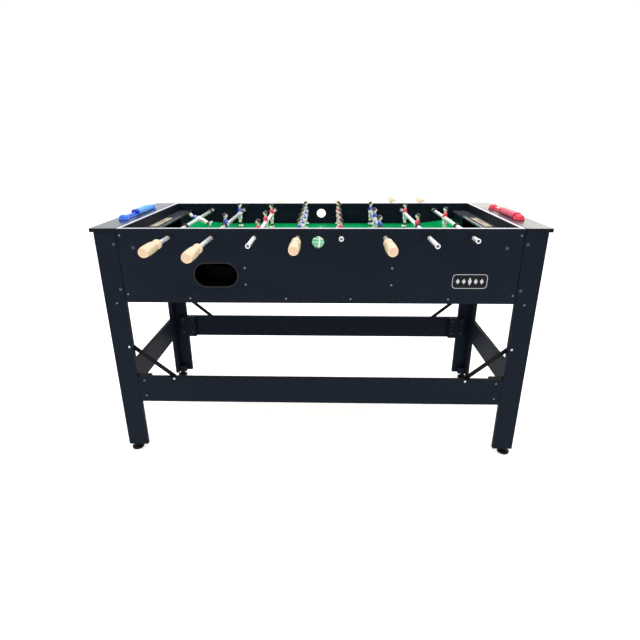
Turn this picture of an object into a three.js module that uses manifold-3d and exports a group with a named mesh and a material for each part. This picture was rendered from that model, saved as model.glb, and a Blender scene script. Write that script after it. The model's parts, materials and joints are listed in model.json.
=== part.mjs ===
// A free-standing foosball table with eight rods, built from flat laminated boards.
//
// Units are millimetres, +Z is up. X runs along the length, from the blue goal to the red goal.
// Y runs across, from the near long side (handles of the blue team) to the far long side.
// The origin is on the floor, under the middle of the space that the table and its handles take.

import * as THREE from 'three';
import { mergeVertices } from 'three/addons/utils/BufferGeometryUtils.js';
import Module from 'manifold-3d';

const wasm = await Module();
wasm.setup();

// ---------------------------------------------------------------- driving dimensions

const LENGTH = 1397;            // over the two end tops
const DEPTH = 610;              // over the cabinet's long panels
const HEIGHT = 806;             // floor to rim
const BOARD = 15;               // every structural board
const GAP = 0.3;                // between boards that touch
const SEAM = 1;                 // visible joint between the cabinet and each end assembly
const ROUND = 12;               // sides of a small round shape

const END_TOP_THICK = 12;
const END_TOP_OVERHANG = 12;
const LEG_FACE = 68;            // width of a leg's long-side board
const LEG_SIDE = 52;            // width of a leg's end-side board, over the corner
const FOOT_HEIGHT = 26;         // floor to the bottom of a leg
const FOOT_INSET = 21;          // foot axis in from both outer faces of its leg
const FOOT_BORE_RADIUS = 5;     // threaded insert in the leg's corner block
const BLOCK = [46, 36];         // width and depth of the corner block, from the leg's outer corner
const CABINET_DEEP = 237;       // rim to the underside of the cabinet

const ROD_PITCH = 132;
const ROD_OFFSET = 4;           // the eight rods together sit this far towards the red goal
const ROD_DROP = 28;            // rod axis below the rim
const ROD_RADIUS = 6.35;
const ROD_BORE_RADIUS = 4.95;
const ROD_HOLE_RADIUS = 7.4;    // running hole in the bushing
const TAIL_RADIUS = 7.8;        // end ring on the plain end of a rod
const TAIL_LENGTH = 9;
const BUSHING_RADIUS = 15;
const BUSHING_FLANGE = 3;
const HANDLE_LENGTH = 120;
const HANDLE_SOCKET = 62;       // how far a rod goes into its handle
const BUMPER_RADIUS = 10.5;
const BUMPER_LENGTH = 14;
const BUMPER_BORE_RADIUS = 7;

const FIELD_DROP = 83;          // playing surface below the rim
const FIELD_THICK = 6;
const CORNER_RISE = 20;         // how high the surface climbs in each corner
const CORNER_LENGTH = 140;      // along the long panel
const CORNER_WIDTH = 100;       // along the goal wall
const GOAL_WALL_X = 546;        // inner face of a goal wall
const GOAL_WALL_THICK = 10;
const GOAL_WIDTH = 240;         // clear width of the goal mouth
const LEDGE_DROP = 30;          // top of the goal ledge below the rim
const LEDGE_THICK = 6;

const ENTRY_RADIUS = 19;        // ball entry hole at the middle of each long panel
const ENTRY_DROP = 42;
const RETURN_X = -319.5;        // ball return opening in the near panel
const RETURN_DROP = 145;
const RETURN_WIDTH = 137;
const RETURN_HEIGHT = 76;
const TRAY_REACH = 80;          // depth of the ball tray behind the near panel
const TRAY_WALL = 3;
const TRAY_INTAKE = 60;         // width of the gap where the balls roll into the tray


const BEAM_X = 228;             // the two cross beams under the playing surface
const NOTCH = [70, 50];         // width and height of the ball passage through each beam
const STRETCHER_TOP = 300;      // above the floor
const STRETCHER_HEIGHT = 95;
const CLEAT_INNER_X = 578;      // corner cleats behind the long stretchers
const CLEAT_OUTER_X = 650;
const BRACE_LEG_X = 631;        // where a brace is screwed to a leg
const BRACE_LEG_Z = 412;
const BRACE_RAIL_X = 492;       // where it is screwed to a long stretcher
const BRACE_WIDTH = 15;
const BRACE_THICK = 3;

const SCORER_X = 656;
const SCORER_SETBACK = 10;      // middle of a scorer, from the cabinet's centre line to the near side
const SCORER_LENGTH = 296;
const SCORER_DOME_RADIUS = 18;
const SCORER_DOME_HEIGHT = 17;
const SCORER_BASE = [18, 4];    // width and height of the foot of the rail
const SCORER_RAIL = [12, 7];    // width and height of the rail above its foot
const COUNTER_LENGTH = 140;
const COUNTER_WIDTH = 28;
const COUNTER_TOP = 20;
const COUNTER_PLAY = 0.5;       // running gap between the counter and the rail

// The men of one rod are evenly spaced about the rod's middle. "shift" is where that middle stands
// off the cabinet's centre line at rest, "turn" is how far its men are swung from upright.
const RODS = [
  { title: 'blue_keeper', team: 'blue', men: 1, pitch: 0, shift: 61, turn: -66 },
  { title: 'blue_defence', team: 'blue', men: 2, pitch: 280, shift: 58, turn: 0 },
  { title: 'red_attack', team: 'red', men: 3, pitch: 185, shift: -22, turn: 0 },
  { title: 'blue_midfield', team: 'blue', men: 5, pitch: 113, shift: 28, turn: 0 },
  { title: 'red_midfield', team: 'red', men: 5, pitch: 113, shift: 28, turn: 0 },
  { title: 'blue_attack', team: 'blue', men: 3, pitch: 185, shift: 56, turn: 0 },
  { title: 'red_defence', team: 'red', men: 2, pitch: 280, shift: 47, turn: 0 },
  { title: 'red_keeper', team: 'red', men: 1, pitch: 0, shift: 75, turn: 0 },
];
// By the number of men: how far a centred rod stands out of the cabinet to the start of its handle,
// how far its plain end stands out on the other side, and where its bumper sits from the nearest man.
const ROD_REACH = {
  1: { handle: 151, tail: 124, bumper: 170 },
  2: { handle: 206, tail: 167, bumper: 14 },
  3: { handle: 130, tail: 98, bumper: 14 },
  5: { handle: 90, tail: 50, bumper: 14 },
};
// Scorers: x side, and where the counter is parked along its rail.
const SCORERS = [
  { side: 'left', sign: -1, parked: 40, colour: 0x38a8ea, railColour: 0x1560e0 },
  { side: 'right', sign: 1, parked: -40, colour: 0xe8476a, railColour: 0xc80f2c },
];

// ---------------------------------------------------------------- derived places

const LEG_BOTTOM = FOOT_HEIGHT;
const LEG_TOP = HEIGHT - END_TOP_THICK - GAP;
const LEG_OUTER_X = LENGTH / 2 - END_TOP_OVERHANG;
const LEG_INNER_X = LEG_OUTER_X - LEG_FACE;
const CABINET_X = LEG_INNER_X - SEAM;
const FACE_Y = DEPTH / 2;                     // outer face of a long panel
const INNER_Y = FACE_Y - BOARD;
const INNER_X = CABINET_X - BOARD;            // inner face of an end wall
const CABINET_BOTTOM = HEIGHT - CABINET_DEEP;
const FIELD_Z = HEIGHT - FIELD_DROP;
const ROD_Z = HEIGHT - ROD_DROP;

const rodX = (index) => ROD_OFFSET + (index - (RODS.length - 1) / 2) * ROD_PITCH;
const handleSide = (rod) => (rod.team === 'blue' ? -1 : 1);
const reachOut = (side) => Math.max(...RODS.filter((rod) => handleSide(rod) === side).map(
  (rod) => FACE_Y + ROD_REACH[rod.men].handle + HANDLE_LENGTH + side * rod.shift));
const CENTRE_Y = (reachOut(-1) - reachOut(1)) / 2;   // cabinet centre line in the part's frame

// ---------------------------------------------------------------- materials

const finish = (color, roughness, metalness = 0) =>
  new THREE.MeshStandardMaterial({ color, roughness, metalness });
const BLACK_LAMINATE = 0x20242c;
const GREEN = 0x0fa04e;
const WOOD = 0xe6d2a4;
const CHROME = 0xd8dade;
const RUBBER = 0x101012;

// ---------------------------------------------------------------- solids

function toSolid(geometry) {
  const bare = geometry.index ? geometry.clone() : geometry;
  bare.deleteAttribute('normal');
  bare.deleteAttribute('uv');
  const merged = mergeVertices(bare, 1e-4);
  return new wasm.Manifold(new wasm.Mesh({
    numProp: 3,
    vertProperties: new Float32Array(merged.attributes.position.array),
    triVerts: new Uint32Array(merged.index.array),
  }));
}

function toGeometry(solid) {
  const { vertProperties, triVerts } = solid.getMesh();
  const geometry = new THREE.BufferGeometry();
  geometry.setAttribute('position', new THREE.BufferAttribute(new Float32Array(vertProperties), 3));
  geometry.setIndex(new THREE.BufferAttribute(new Uint32Array(triVerts), 1));
  geometry.computeVertexNormals();
  return geometry;
}

// A box between two corners, each [x, y, z].
function slab(low, high) {
  const size = high.map((value, axis) => value - low[axis]);
  return new THREE.BoxGeometry(...size)
    .translate(...high.map((value, axis) => (value + low[axis]) / 2));
}

// A round bar or bore along Y.
function roundAlongY(radius, length, segments, x = 0, y = 0, z = 0) {
  return new THREE.CylinderGeometry(radius, radius, length, segments).translate(x, y, z);
}

// An outline in X and Z, pushed through the given thickness in Y about y.
function outlineAlongY(shape, thickness, y, curveSegments = 6) {
  return new THREE.ExtrudeGeometry(shape, { depth: thickness, bevelEnabled: false, curveSegments })
    .rotateX(Math.PI / 2).translate(0, y + thickness / 2, 0);
}

// A turned shape from [radius, height] pairs, standing on Z.
function turned(profile, segments) {
  const points = profile.map(([radius, height]) => new THREE.Vector2(radius, height));
  return new THREE.LatheGeometry(points, segments).rotateX(Math.PI / 2);
}

const joined = (first, ...others) =>
  others.reduce((solid, geometry) => solid.add(toSolid(geometry)), toSolid(first));
const cutFrom = (solid, ...tools) =>
  tools.reduce((left, geometry) => left.subtract(toSolid(geometry)), solid);

const table = new THREE.Group();
table.position.y = CENTRE_Y;

function place(name, geometry, material, parent = table) {
  const mesh = new THREE.Mesh(geometry, material);
  mesh.name = name;
  parent.add(mesh);
  return mesh;
}

const laminate = () => finish(BLACK_LAMINATE, 0.45);

// ---------------------------------------------------------------- cabinet

// A long panel with a flanged bushing on both faces for each rod, and the ball entry hole.
function longPanel(side) {
  const outer = side * FACE_Y;
  const inner = side * INNER_Y;
  const middle = (outer + inner) / 2;
  let panel = toSolid(slab([-CABINET_X, Math.min(outer, inner), CABINET_BOTTOM],
    [CABINET_X, Math.max(outer, inner), HEIGHT]));
  RODS.forEach((rod, index) => {
    const bushing = BOARD + 2 * BUSHING_FLANGE;
    panel = panel.add(toSolid(roundAlongY(BUSHING_RADIUS, bushing, ROUND, rodX(index), middle, ROD_Z)));
  });
  const holes = RODS.map((rod, index) =>
    roundAlongY(ROD_HOLE_RADIUS, 2 * BOARD, ROUND, rodX(index), middle, ROD_Z));
  const entry = roundAlongY(ENTRY_RADIUS, 2 * BOARD, 2 * ROUND, 0, middle, HEIGHT - ENTRY_DROP);
  return cutFrom(panel, ...holes, entry);
}

// The ball return is an opening with two half-round ends.
function returnOutline(margin) {
  const radius = RETURN_HEIGHT / 2 + margin;
  const reach = (RETURN_WIDTH - RETURN_HEIGHT) / 2;
  const shape = new THREE.Shape();
  shape.absarc(reach, 0, radius, -Math.PI / 2, Math.PI / 2);
  shape.absarc(-reach, 0, radius, Math.PI / 2, 1.5 * Math.PI);
  shape.closePath();
  return shape;
}

const returnZ = HEIGHT - RETURN_DROP;
const returnCut = outlineAlongY(returnOutline(0), 3 * BOARD, 0)
  .translate(RETURN_X, -FACE_Y + BOARD / 2, returnZ);
place('front_panel', toGeometry(cutFrom(longPanel(-1), returnCut)), laminate());
place('back_panel', toGeometry(longPanel(1)), laminate());

for (const { side, sign } of SCORERS) {
  const [low, high] = [sign * INNER_X, sign * CABINET_X].sort((a, b) => a - b);
  place(`end_wall_${side}`, slab([low, -INNER_Y + GAP, CABINET_BOTTOM],
    [high, INNER_Y - GAP, HEIGHT]), laminate());
}

// One corner of the playing surface climbs towards the meeting of panel and goal wall.
function cornerWedge(signX, signY) {
  const x = signX * (GOAL_WALL_X - GAP);
  const y = signY * (INNER_Y - GAP);
  const corners = [
    [x, y, CORNER_RISE],
    [x - signX * CORNER_LENGTH, y, 0],
    [x, y - signY * CORNER_WIDTH, 0],
    [x, y, -FIELD_THICK / 2],
  ];
  const order = signX * signY > 0
    ? [0, 1, 2, 0, 3, 1, 0, 2, 3, 1, 3, 2]
    : [0, 2, 1, 0, 1, 3, 0, 3, 2, 1, 2, 3];
  const wedge = new THREE.BufferGeometry();
  wedge.setAttribute('position', new THREE.Float32BufferAttribute(corners.flat(), 3));
  wedge.setIndex(order);
  return wedge.translate(0, 0, FIELD_Z);
}

const surface = slab([-GOAL_WALL_X + GAP, -INNER_Y + GAP, FIELD_Z - FIELD_THICK],
  [GOAL_WALL_X - GAP, INNER_Y - GAP, FIELD_Z]);
const corners = [[-1, -1], [1, -1], [-1, 1], [1, 1]].map(([sx, sy]) => cornerWedge(sx, sy));
place('playfield', toGeometry(joined(surface, ...corners)), finish(GREEN, 0.55));

// The goal wall and the ledge behind it close the end of the pitch. The mouth is open to the pit.
for (const { side, sign } of SCORERS) {
  const wallFar = GOAL_WALL_X + GOAL_WALL_THICK;
  const ledgeTop = HEIGHT - LEDGE_DROP;
  const reach = INNER_Y - GAP;
  const wall = slab([GOAL_WALL_X, -reach, FIELD_Z - FIELD_THICK], [wallFar, reach, ledgeTop]);
  const ledge = slab([GOAL_WALL_X, -reach, ledgeTop - LEDGE_THICK], [INNER_X - GAP, reach, ledgeTop]);
  const mouth = slab([GOAL_WALL_X - BOARD, -GOAL_WIDTH / 2, FIELD_Z - 2 * BOARD],
    [wallFar + 1, GOAL_WIDTH / 2, ledgeTop - LEDGE_THICK]);
  const box = toGeometry(cutFrom(joined(wall, ledge), mouth));
  place(`goal_box_${side}`, sign > 0 ? box : box.rotateZ(Math.PI), finish(0x24282e, 0.5));
}

// The bottom board carries two cross beams, notched at the near side to let the balls roll past.
const bottomTop = CABINET_BOTTOM + 2 * BOARD - GAP;
const bottom = slab([-INNER_X + GAP, -INNER_Y + GAP, CABINET_BOTTOM + BOARD / 2],
  [INNER_X - GAP, INNER_Y - GAP, bottomTop - BOARD / 2]);
const beams = [-1, 1].map((sign) => slab(
  [sign * BEAM_X - BOARD / 2, -INNER_Y + GAP, bottomTop - BOARD],
  [sign * BEAM_X + BOARD / 2, INNER_Y - GAP, FIELD_Z - FIELD_THICK - GAP]));
const notches = [-1, 1].map((sign) => slab(
  [sign * BEAM_X - BOARD, -INNER_Y - BOARD, bottomTop - BOARD / 2],
  [sign * BEAM_X + BOARD, -INNER_Y + NOTCH[0], bottomTop + NOTCH[1]]));
place('bottom_panel', toGeometry(cutFrom(joined(bottom, ...beams), ...notches)), laminate());

// The ball tray is a shallow cup behind the return opening, open at the back for the balls.
const trayOuter = outlineAlongY(returnOutline(TRAY_WALL + 1), TRAY_REACH, 0)
  .translate(RETURN_X, -INNER_Y + GAP + TRAY_REACH / 2, returnZ);
const trayInner = outlineAlongY(returnOutline(1), TRAY_REACH, 0)
  .translate(RETURN_X, -INNER_Y + GAP + TRAY_REACH / 2 - TRAY_WALL, returnZ);
const trayIntake = slab([RETURN_X - TRAY_INTAKE / 2, -INNER_Y + TRAY_REACH / 2, returnZ],
  [RETURN_X + TRAY_INTAKE / 2, -INNER_Y + TRAY_REACH + BOARD, returnZ + RETURN_HEIGHT]);
place('ball_return_tray', toGeometry(cutFrom(toSolid(trayOuter), trayInner, trayIntake)),
  finish(0x0b0c0e, 0.4));

// ---------------------------------------------------------------- end assemblies

for (const { side, sign } of SCORERS) {
  const boardAcross = (name, x, bottomZ, topZ, reach) => place(name, slab(
    [Math.min(sign * x, sign * (x + BOARD)), -reach, bottomZ],
    [Math.max(sign * x, sign * (x + BOARD)), reach, topZ]), laminate());
  const topX = [sign * (LEG_INNER_X - SEAM / 2), sign * LENGTH / 2].sort((a, b) => a - b);
  place(`end_top_${side}`, slab([topX[0], -FACE_Y, HEIGHT - END_TOP_THICK],
    [topX[1], FACE_Y, HEIGHT]), laminate());
  const reach = INNER_Y - GAP;
  boardAcross(`end_board_${side}`, LEG_INNER_X + GAP, CABINET_BOTTOM, LEG_TOP, reach);
  boardAcross(`end_apron_${side}`, LEG_OUTER_X - 2 * BOARD - GAP, CABINET_BOTTOM, LEG_TOP, reach);
  boardAcross(`side_stretcher_${side}`, LEG_OUTER_X - BOARD,
    STRETCHER_TOP - STRETCHER_HEIGHT, STRETCHER_TOP, FACE_Y - LEG_SIDE - GAP);
}

// An L-section leg of two boards with a corner block at the bottom that holds the foot's insert.
function leg(signX, signY) {
  const corner = [signX * LEG_OUTER_X, signY * FACE_Y];
  const piece = (wide, deep, low, high) => {
    const x = [corner[0], corner[0] - signX * wide].sort((a, b) => a - b);
    const y = [corner[1], corner[1] - signY * deep].sort((a, b) => a - b);
    return slab([x[0], y[0], low], [x[1], y[1], high]);
  };
  const boards = joined(piece(LEG_FACE, BOARD, LEG_BOTTOM, LEG_TOP),
    piece(BOARD, LEG_SIDE, LEG_BOTTOM, LEG_TOP),
    piece(BLOCK[0], BLOCK[1], LEG_BOTTOM, LEG_BOTTOM + 2 * BOARD));
  const [footX, footY] = [corner[0] - signX * FOOT_INSET, corner[1] - signY * FOOT_INSET];
  const insert = new THREE.CylinderGeometry(FOOT_BORE_RADIUS, FOOT_BORE_RADIUS, 5 * BOARD, ROUND)
    .rotateX(Math.PI / 2).translate(footX, footY, LEG_BOTTOM);
  return toGeometry(cutFrom(boards, insert));
}

const FOOT_PROFILE = [
  [0, 0], [20.5, 0], [20.5, 8], [9.5, 15], [9.5, 21], [4.2, 21],
  [4.2, FOOT_HEIGHT + 16], [0, FOOT_HEIGHT + 16],
];

for (const [end, signX] of [['left', -1], ['right', 1]]) {
  for (const [row, signY] of [['front', -1], ['rear', 1]]) {
    place(`leg_${row}_${end}`, leg(signX, signY), laminate());
    const foot = place(`foot_${row}_${end}`, turned(FOOT_PROFILE, ROUND), finish(RUBBER, 0.5));
    foot.position.set(signX * (LEG_OUTER_X - FOOT_INSET), signY * (FACE_Y - FOOT_INSET), 0);
  }
}

// A long stretcher stands flush between two legs. The cleats glued behind its ends lap the legs.
for (const [row, sign] of [['front', -1], ['rear', 1]]) {
  const low = STRETCHER_TOP - STRETCHER_HEIGHT;
  const across = (near, far) => [sign * near, sign * far].sort((a, b) => a - b);
  const [boardNear, boardFar] = across(INNER_Y, FACE_Y);
  const [cleatNear, cleatFar] = across(INNER_Y - BOARD, INNER_Y - GAP);
  const [glueNear, glueFar] = across(INNER_Y - BOARD, INNER_Y + 1);
  const end = LEG_INNER_X - GAP;
  const cleats = [-1, 1].flatMap((side) => {
    const lap = [side * CLEAT_INNER_X, side * CLEAT_OUTER_X].sort((a, b) => a - b);
    const glued = [side * CLEAT_INNER_X, side * end].sort((a, b) => a - b);
    return [slab([lap[0], cleatNear, low], [lap[1], cleatFar, STRETCHER_TOP]),
      slab([glued[0], glueNear, low], [glued[1], glueFar, STRETCHER_TOP])];
  });
  const rail = slab([-end, boardNear, low], [end, boardFar, STRETCHER_TOP]);
  place(`long_stretcher_${row}`, toGeometry(joined(rail, ...cleats)), laminate());

  // Flat steel braces run on the inner faces, from each leg down to the stretcher's top edge.
  for (const [name, side] of [['left', -1], ['right', 1]]) {
    const from = new THREE.Vector3(side * BRACE_LEG_X, 0, BRACE_LEG_Z);
    const to = new THREE.Vector3(side * BRACE_RAIL_X, 0, STRETCHER_TOP - BRACE_WIDTH / 2);
    const run = to.clone().sub(from);
    const strip = new THREE.BoxGeometry(run.length() + BRACE_WIDTH, BRACE_THICK, BRACE_WIDTH);
    const brace = place(`brace_${row}_${name}`, strip, finish(RUBBER, 0.4, 0.6));
    brace.position.copy(from).add(to).multiplyScalar(0.5);
    brace.position.y = sign * (INNER_Y - BRACE_THICK / 2 - GAP);
    brace.rotation.y = Math.atan2(-run.z, run.x);
  }
}

// ---------------------------------------------------------------- rods

// A man is cut from one outline seen from his side, with a round head. He hangs on the rod's axis.
const manOutline = new THREE.Shape([
  [-9.5, -51], [10.5, -51], [11.5, -45], [6, -39], [7.5, -22], [9, -8], [9, 8], [8, 20], [3.5, 25],
  [-3.5, 25], [-8, 20], [-9, 8], [-9, -8], [-7, -22], [-5.5, -39], [-10, -44],
].map(([x, z]) => new THREE.Vector2(x, z)));
const MAN_WIDTH = 25;
const HEAD_RADIUS = 9.4;
const HEAD_HEIGHT = 32.4;

function manAt(y, turn) {
  const body = outlineAlongY(manOutline, MAN_WIDTH, 0);
  const head = new THREE.SphereGeometry(HEAD_RADIUS, 8, 5).translate(0, 0, HEAD_HEIGHT);
  const stand = (geometry) => geometry.rotateY(THREE.MathUtils.degToRad(turn)).translate(0, y, 0);
  return [stand(body), stand(head)];
}

// Along the rod's own line, y counts from the rod's middle and grows away from its handle.
const handleOutline = [
  [BUMPER_BORE_RADIUS, 0], [11, 0], [12.6, 3], [12.6, 20], [11.2, 25], [14.8, 40],
  [16, 65], [15.4, 105], [11.5, HANDLE_LENGTH], [0, HANDLE_LENGTH],
  [0, HANDLE_SOCKET], [BUMPER_BORE_RADIUS, HANDLE_SOCKET], [BUMPER_BORE_RADIUS, 0],
];

RODS.forEach((rod, index) => {
  const reach = ROD_REACH[rod.men];
  const start = -(FACE_Y + reach.handle + HANDLE_SOCKET - GAP);
  const end = FACE_Y + reach.tail;
  const line = new THREE.Group();
  line.position.set(rodX(index), rod.shift, ROD_Z);
  line.rotation.z = handleSide(rod) > 0 ? Math.PI : 0;
  table.add(line);

  const middle = (start + end) / 2;
  const tube = roundAlongY(ROD_RADIUS, end - start, ROUND, 0, middle, 0);
  const ring = roundAlongY(TAIL_RADIUS, TAIL_LENGTH, ROUND, 0, end - TAIL_LENGTH / 2, 0);
  const bore = roundAlongY(ROD_BORE_RADIUS, end - start + 2, 8, 0, middle, 0);
  const places = Array.from({ length: rod.men }, (_, man) => (man - (rod.men - 1) / 2) * rod.pitch);
  const turn = rod.turn * -handleSide(rod);
  const men = places.flatMap((y) => manAt(y, turn));
  place(`rod_${index + 1}_${rod.title}`, toGeometry(cutFrom(joined(tube, ring, ...men), bore)),
    finish(CHROME, 0.2, 1), line);

  const handle = new THREE.LatheGeometry(
    handleOutline.map(([radius, y]) => new THREE.Vector2(radius, y)), ROUND)
    .rotateZ(Math.PI).translate(0, -(FACE_Y + reach.handle), 0);
  place(`handle_${index + 1}`, handle, finish(WOOD, 0.5), line);

  const bumperEnd = places[0] - reach.bumper;
  const bumper = new THREE.LatheGeometry([
    [BUMPER_BORE_RADIUS, 0], [BUMPER_RADIUS, 0], [BUMPER_RADIUS, BUMPER_LENGTH],
    [BUMPER_BORE_RADIUS, BUMPER_LENGTH], [BUMPER_BORE_RADIUS, 0],
  ].map(([radius, y]) => new THREE.Vector2(radius, y)), ROUND)
    .translate(0, bumperEnd - BUMPER_LENGTH, 0);
  place(`bumper_${index + 1}`, bumper, finish(RUBBER, 0.7), line);
});

// ---------------------------------------------------------------- scorers

for (const { side, sign, parked, colour, railColour } of SCORERS) {
  const domeY = SCORER_LENGTH / 2 - SCORER_DOME_RADIUS;
  const [baseWidth, baseHeight] = SCORER_BASE;
  const [railWidth, railHeight] = SCORER_RAIL;
  const railTop = baseHeight + railHeight;
  const base = slab([-baseWidth / 2, -domeY, 0], [baseWidth / 2, domeY, baseHeight]);
  const rail = slab([-railWidth / 2, -domeY, baseHeight - 1], [railWidth / 2, domeY, railTop]);
  const dome = turned([
    [0, 0], [SCORER_DOME_RADIUS, 0], [SCORER_DOME_RADIUS, 5], [SCORER_DOME_RADIUS * 0.82, 12],
    [SCORER_DOME_RADIUS * 0.45, SCORER_DOME_HEIGHT], [0, SCORER_DOME_HEIGHT],
  ], ROUND);
  const domes = [-domeY, domeY].map((y) => dome.clone().translate(0, y, 0));
  const mount = new THREE.Group();
  mount.position.set(sign * SCORER_X, -SCORER_SETBACK, HEIGHT + GAP);
  table.add(mount);
  place(`scorer_${side}`, toGeometry(joined(base, rail, ...domes)), finish(railColour, 0.35), mount);

  const block = slab([-COUNTER_WIDTH / 2, -COUNTER_LENGTH / 2, baseHeight + GAP],
    [COUNTER_WIDTH / 2, COUNTER_LENGTH / 2, COUNTER_TOP]);
  const channel = slab([-railWidth / 2 - COUNTER_PLAY, -COUNTER_LENGTH, 0],
    [railWidth / 2 + COUNTER_PLAY, COUNTER_LENGTH, railTop + COUNTER_PLAY]);
  const counter = place(`scorer_counter_${side}`, toGeometry(cutFrom(toSolid(block), channel)),
    finish(colour, 0.35), mount);
  counter.position.y = parked;
}

export default table;
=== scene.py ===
# %% [markdown]
# # A foosball table, piece by piece
# The table is a black boarded box on four corner legs, with eight chrome rods that slide and spin
# across a green pitch. A solid model gives every place and every moving body. This
# notebook builds the visible pieces around it, in metres, with +Z up.

import json
import math

import bmesh
import bpy
import numpy as np
from mathutils import Matrix, Vector


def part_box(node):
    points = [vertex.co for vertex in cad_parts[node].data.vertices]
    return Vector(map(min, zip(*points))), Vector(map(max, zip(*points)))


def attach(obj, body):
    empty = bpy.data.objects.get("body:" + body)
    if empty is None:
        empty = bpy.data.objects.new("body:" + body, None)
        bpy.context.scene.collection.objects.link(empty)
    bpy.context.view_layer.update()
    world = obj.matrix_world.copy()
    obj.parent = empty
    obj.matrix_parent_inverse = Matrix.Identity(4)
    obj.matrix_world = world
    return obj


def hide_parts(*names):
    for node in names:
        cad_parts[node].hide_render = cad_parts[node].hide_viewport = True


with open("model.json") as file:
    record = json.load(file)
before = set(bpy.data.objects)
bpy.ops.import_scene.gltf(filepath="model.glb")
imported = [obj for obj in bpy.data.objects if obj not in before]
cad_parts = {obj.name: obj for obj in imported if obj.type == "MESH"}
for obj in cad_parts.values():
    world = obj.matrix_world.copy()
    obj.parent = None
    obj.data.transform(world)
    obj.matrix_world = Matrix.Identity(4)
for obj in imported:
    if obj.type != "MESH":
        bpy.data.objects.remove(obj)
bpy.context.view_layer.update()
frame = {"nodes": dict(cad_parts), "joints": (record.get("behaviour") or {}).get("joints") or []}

# %% [markdown]
# The pieces take their places from the frame's boxes wherever a box gives one. The sizes below are
# those that many cells share, such as the 15 mm boards and the heights of the rim and the pitch.

# %% Main measures
MM = 0.001
BOARD = 15 * MM
PITCH_DEPTH = 83 * MM          # from the rim down to the pitch
RIM_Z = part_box("end_top_left")[1].z
FRONT_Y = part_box("long_stretcher_front")[0].y
BACK_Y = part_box("long_stretcher_rear")[1].y
MIDDLE_Y = (FRONT_Y + BACK_Y) / 2
CABINET_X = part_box("front_panel")[1].x
CABINET_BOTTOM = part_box("front_panel")[0].z
FIELD_Z = RIM_Z - PITCH_DEPTH
SIDES = {"left": -1, "right": 1}
ROWS = {"front": -1, "rear": 1}
UP = Vector((0, 0, 1))
MEN = {"keeper": 1, "defence": 2, "attack": 3, "midfield": 5}
MEN_SPACING = {"keeper": 0, "defence": 280, "attack": 185, "midfield": 113}      # mm
SPINS = sorted((j for j in frame["joints"] if j["name"].endswith("_spin")), key=lambda j: j["name"])
RODS = []
for number, spin in enumerate(SPINS, 1):
    node = next(n for n in frame["nodes"] if n.startswith(f"rod_{number}_"))
    role = node.split("_")[-1]
    RODS.append({
        "number": number, "node": node, "middle": Vector(spin["pos_m"]),
        "team": node.split("_")[2], "away": 1 if "blue" in node else -1,
        "men": MEN[role], "spacing": MEN_SPACING[role] * MM,
    })


def panel_face(sy):
    """The outer face of the near panel for -1, of the far panel for 1."""
    return FRONT_Y if sy < 0 else BACK_Y


print("rim at", round(RIM_Z, 4), "m, rods:", [rod["node"] for rod in RODS])

# %% [markdown]
# ## The studio
# A white room has one large soft lamp overhead, a weak one in front and a warm one far behind,
# which puts a sheen on the end tops. The camera stands a little above the rim and looks down.

# %% Camera
CAMERA_PLACE = Vector((0.0330, -1.7761, 1.0568))
CAMERA_PITCH, CAMERA_YAW, CAMERA_ROLL = 0.370, -0.031, -0.005      # radians
ahead = Vector((math.sin(CAMERA_YAW) * math.cos(CAMERA_PITCH),
                math.cos(CAMERA_YAW) * math.cos(CAMERA_PITCH), -math.sin(CAMERA_PITCH)))
level = Vector((math.cos(CAMERA_YAW), -math.sin(CAMERA_YAW), 0))
upright = level.cross(ahead)
right = math.cos(CAMERA_ROLL) * level + math.sin(CAMERA_ROLL) * upright
above = -math.sin(CAMERA_ROLL) * level + math.cos(CAMERA_ROLL) * upright
camera = bpy.data.objects.new("camera", bpy.data.cameras.new("camera"))
camera.matrix_world = Matrix.Translation(CAMERA_PLACE) @ Matrix(
    (right, above, -ahead)).transposed().to_4x4()
camera.data.lens = 26.53
camera.data.sensor_width = 36
camera.data.shift_x = 0.0081
camera.data.shift_y = 0.0027
bpy.context.scene.collection.objects.link(camera)
bpy.context.scene.camera = camera
print("camera looks down", round(math.degrees(CAMERA_PITCH), 1), "degrees")

# %% Light
world = bpy.data.worlds.new("white_room")
world.use_nodes = True
world.node_tree.nodes["Background"].inputs["Color"].default_value = (1.0, 1.0, 1.0, 1)
world.node_tree.nodes["Background"].inputs["Strength"].default_value = 1.1
bpy.context.scene.world = world
bpy.context.scene.view_settings.view_transform = "Standard"


def soft_lamp(name, place, target, size, power, color=(1, 1, 1)):
    lamp = bpy.data.objects.new(name, bpy.data.lights.new(name, "AREA"))
    lamp.data.color = color
    lamp.data.shape = "RECTANGLE"
    lamp.data.size, lamp.data.size_y = size
    lamp.data.energy = power
    lamp.location = place
    lamp.rotation_euler = (Vector(target) - Vector(place)).to_track_quat("-Z", "Y").to_euler()
    bpy.context.scene.collection.objects.link(lamp)


soft_lamp("overhead_lamp", (0.3, 0.2, 3.2), (0, 0, 0.7), (3.0, 2.0), 45)
soft_lamp("front_lamp", (-1.4, -3.0, 2.2), (0, 0, 0.6), (2.0, 1.2), 8)
soft_lamp("back_lamp", (2.7, 5.0, 1.6), (0.6, 0, 0.8), (2.2, 2.0), 13, (1.0, 0.90, 0.78))

# %% [markdown]
# ## Writing a finish as arithmetic
# A finish is a node tree. Wrapping a socket in a small class lets a line of Python add the Math
# nodes, and one method adds any other node, so that each finish reads like a recipe.

# %% Finish helpers


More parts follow.
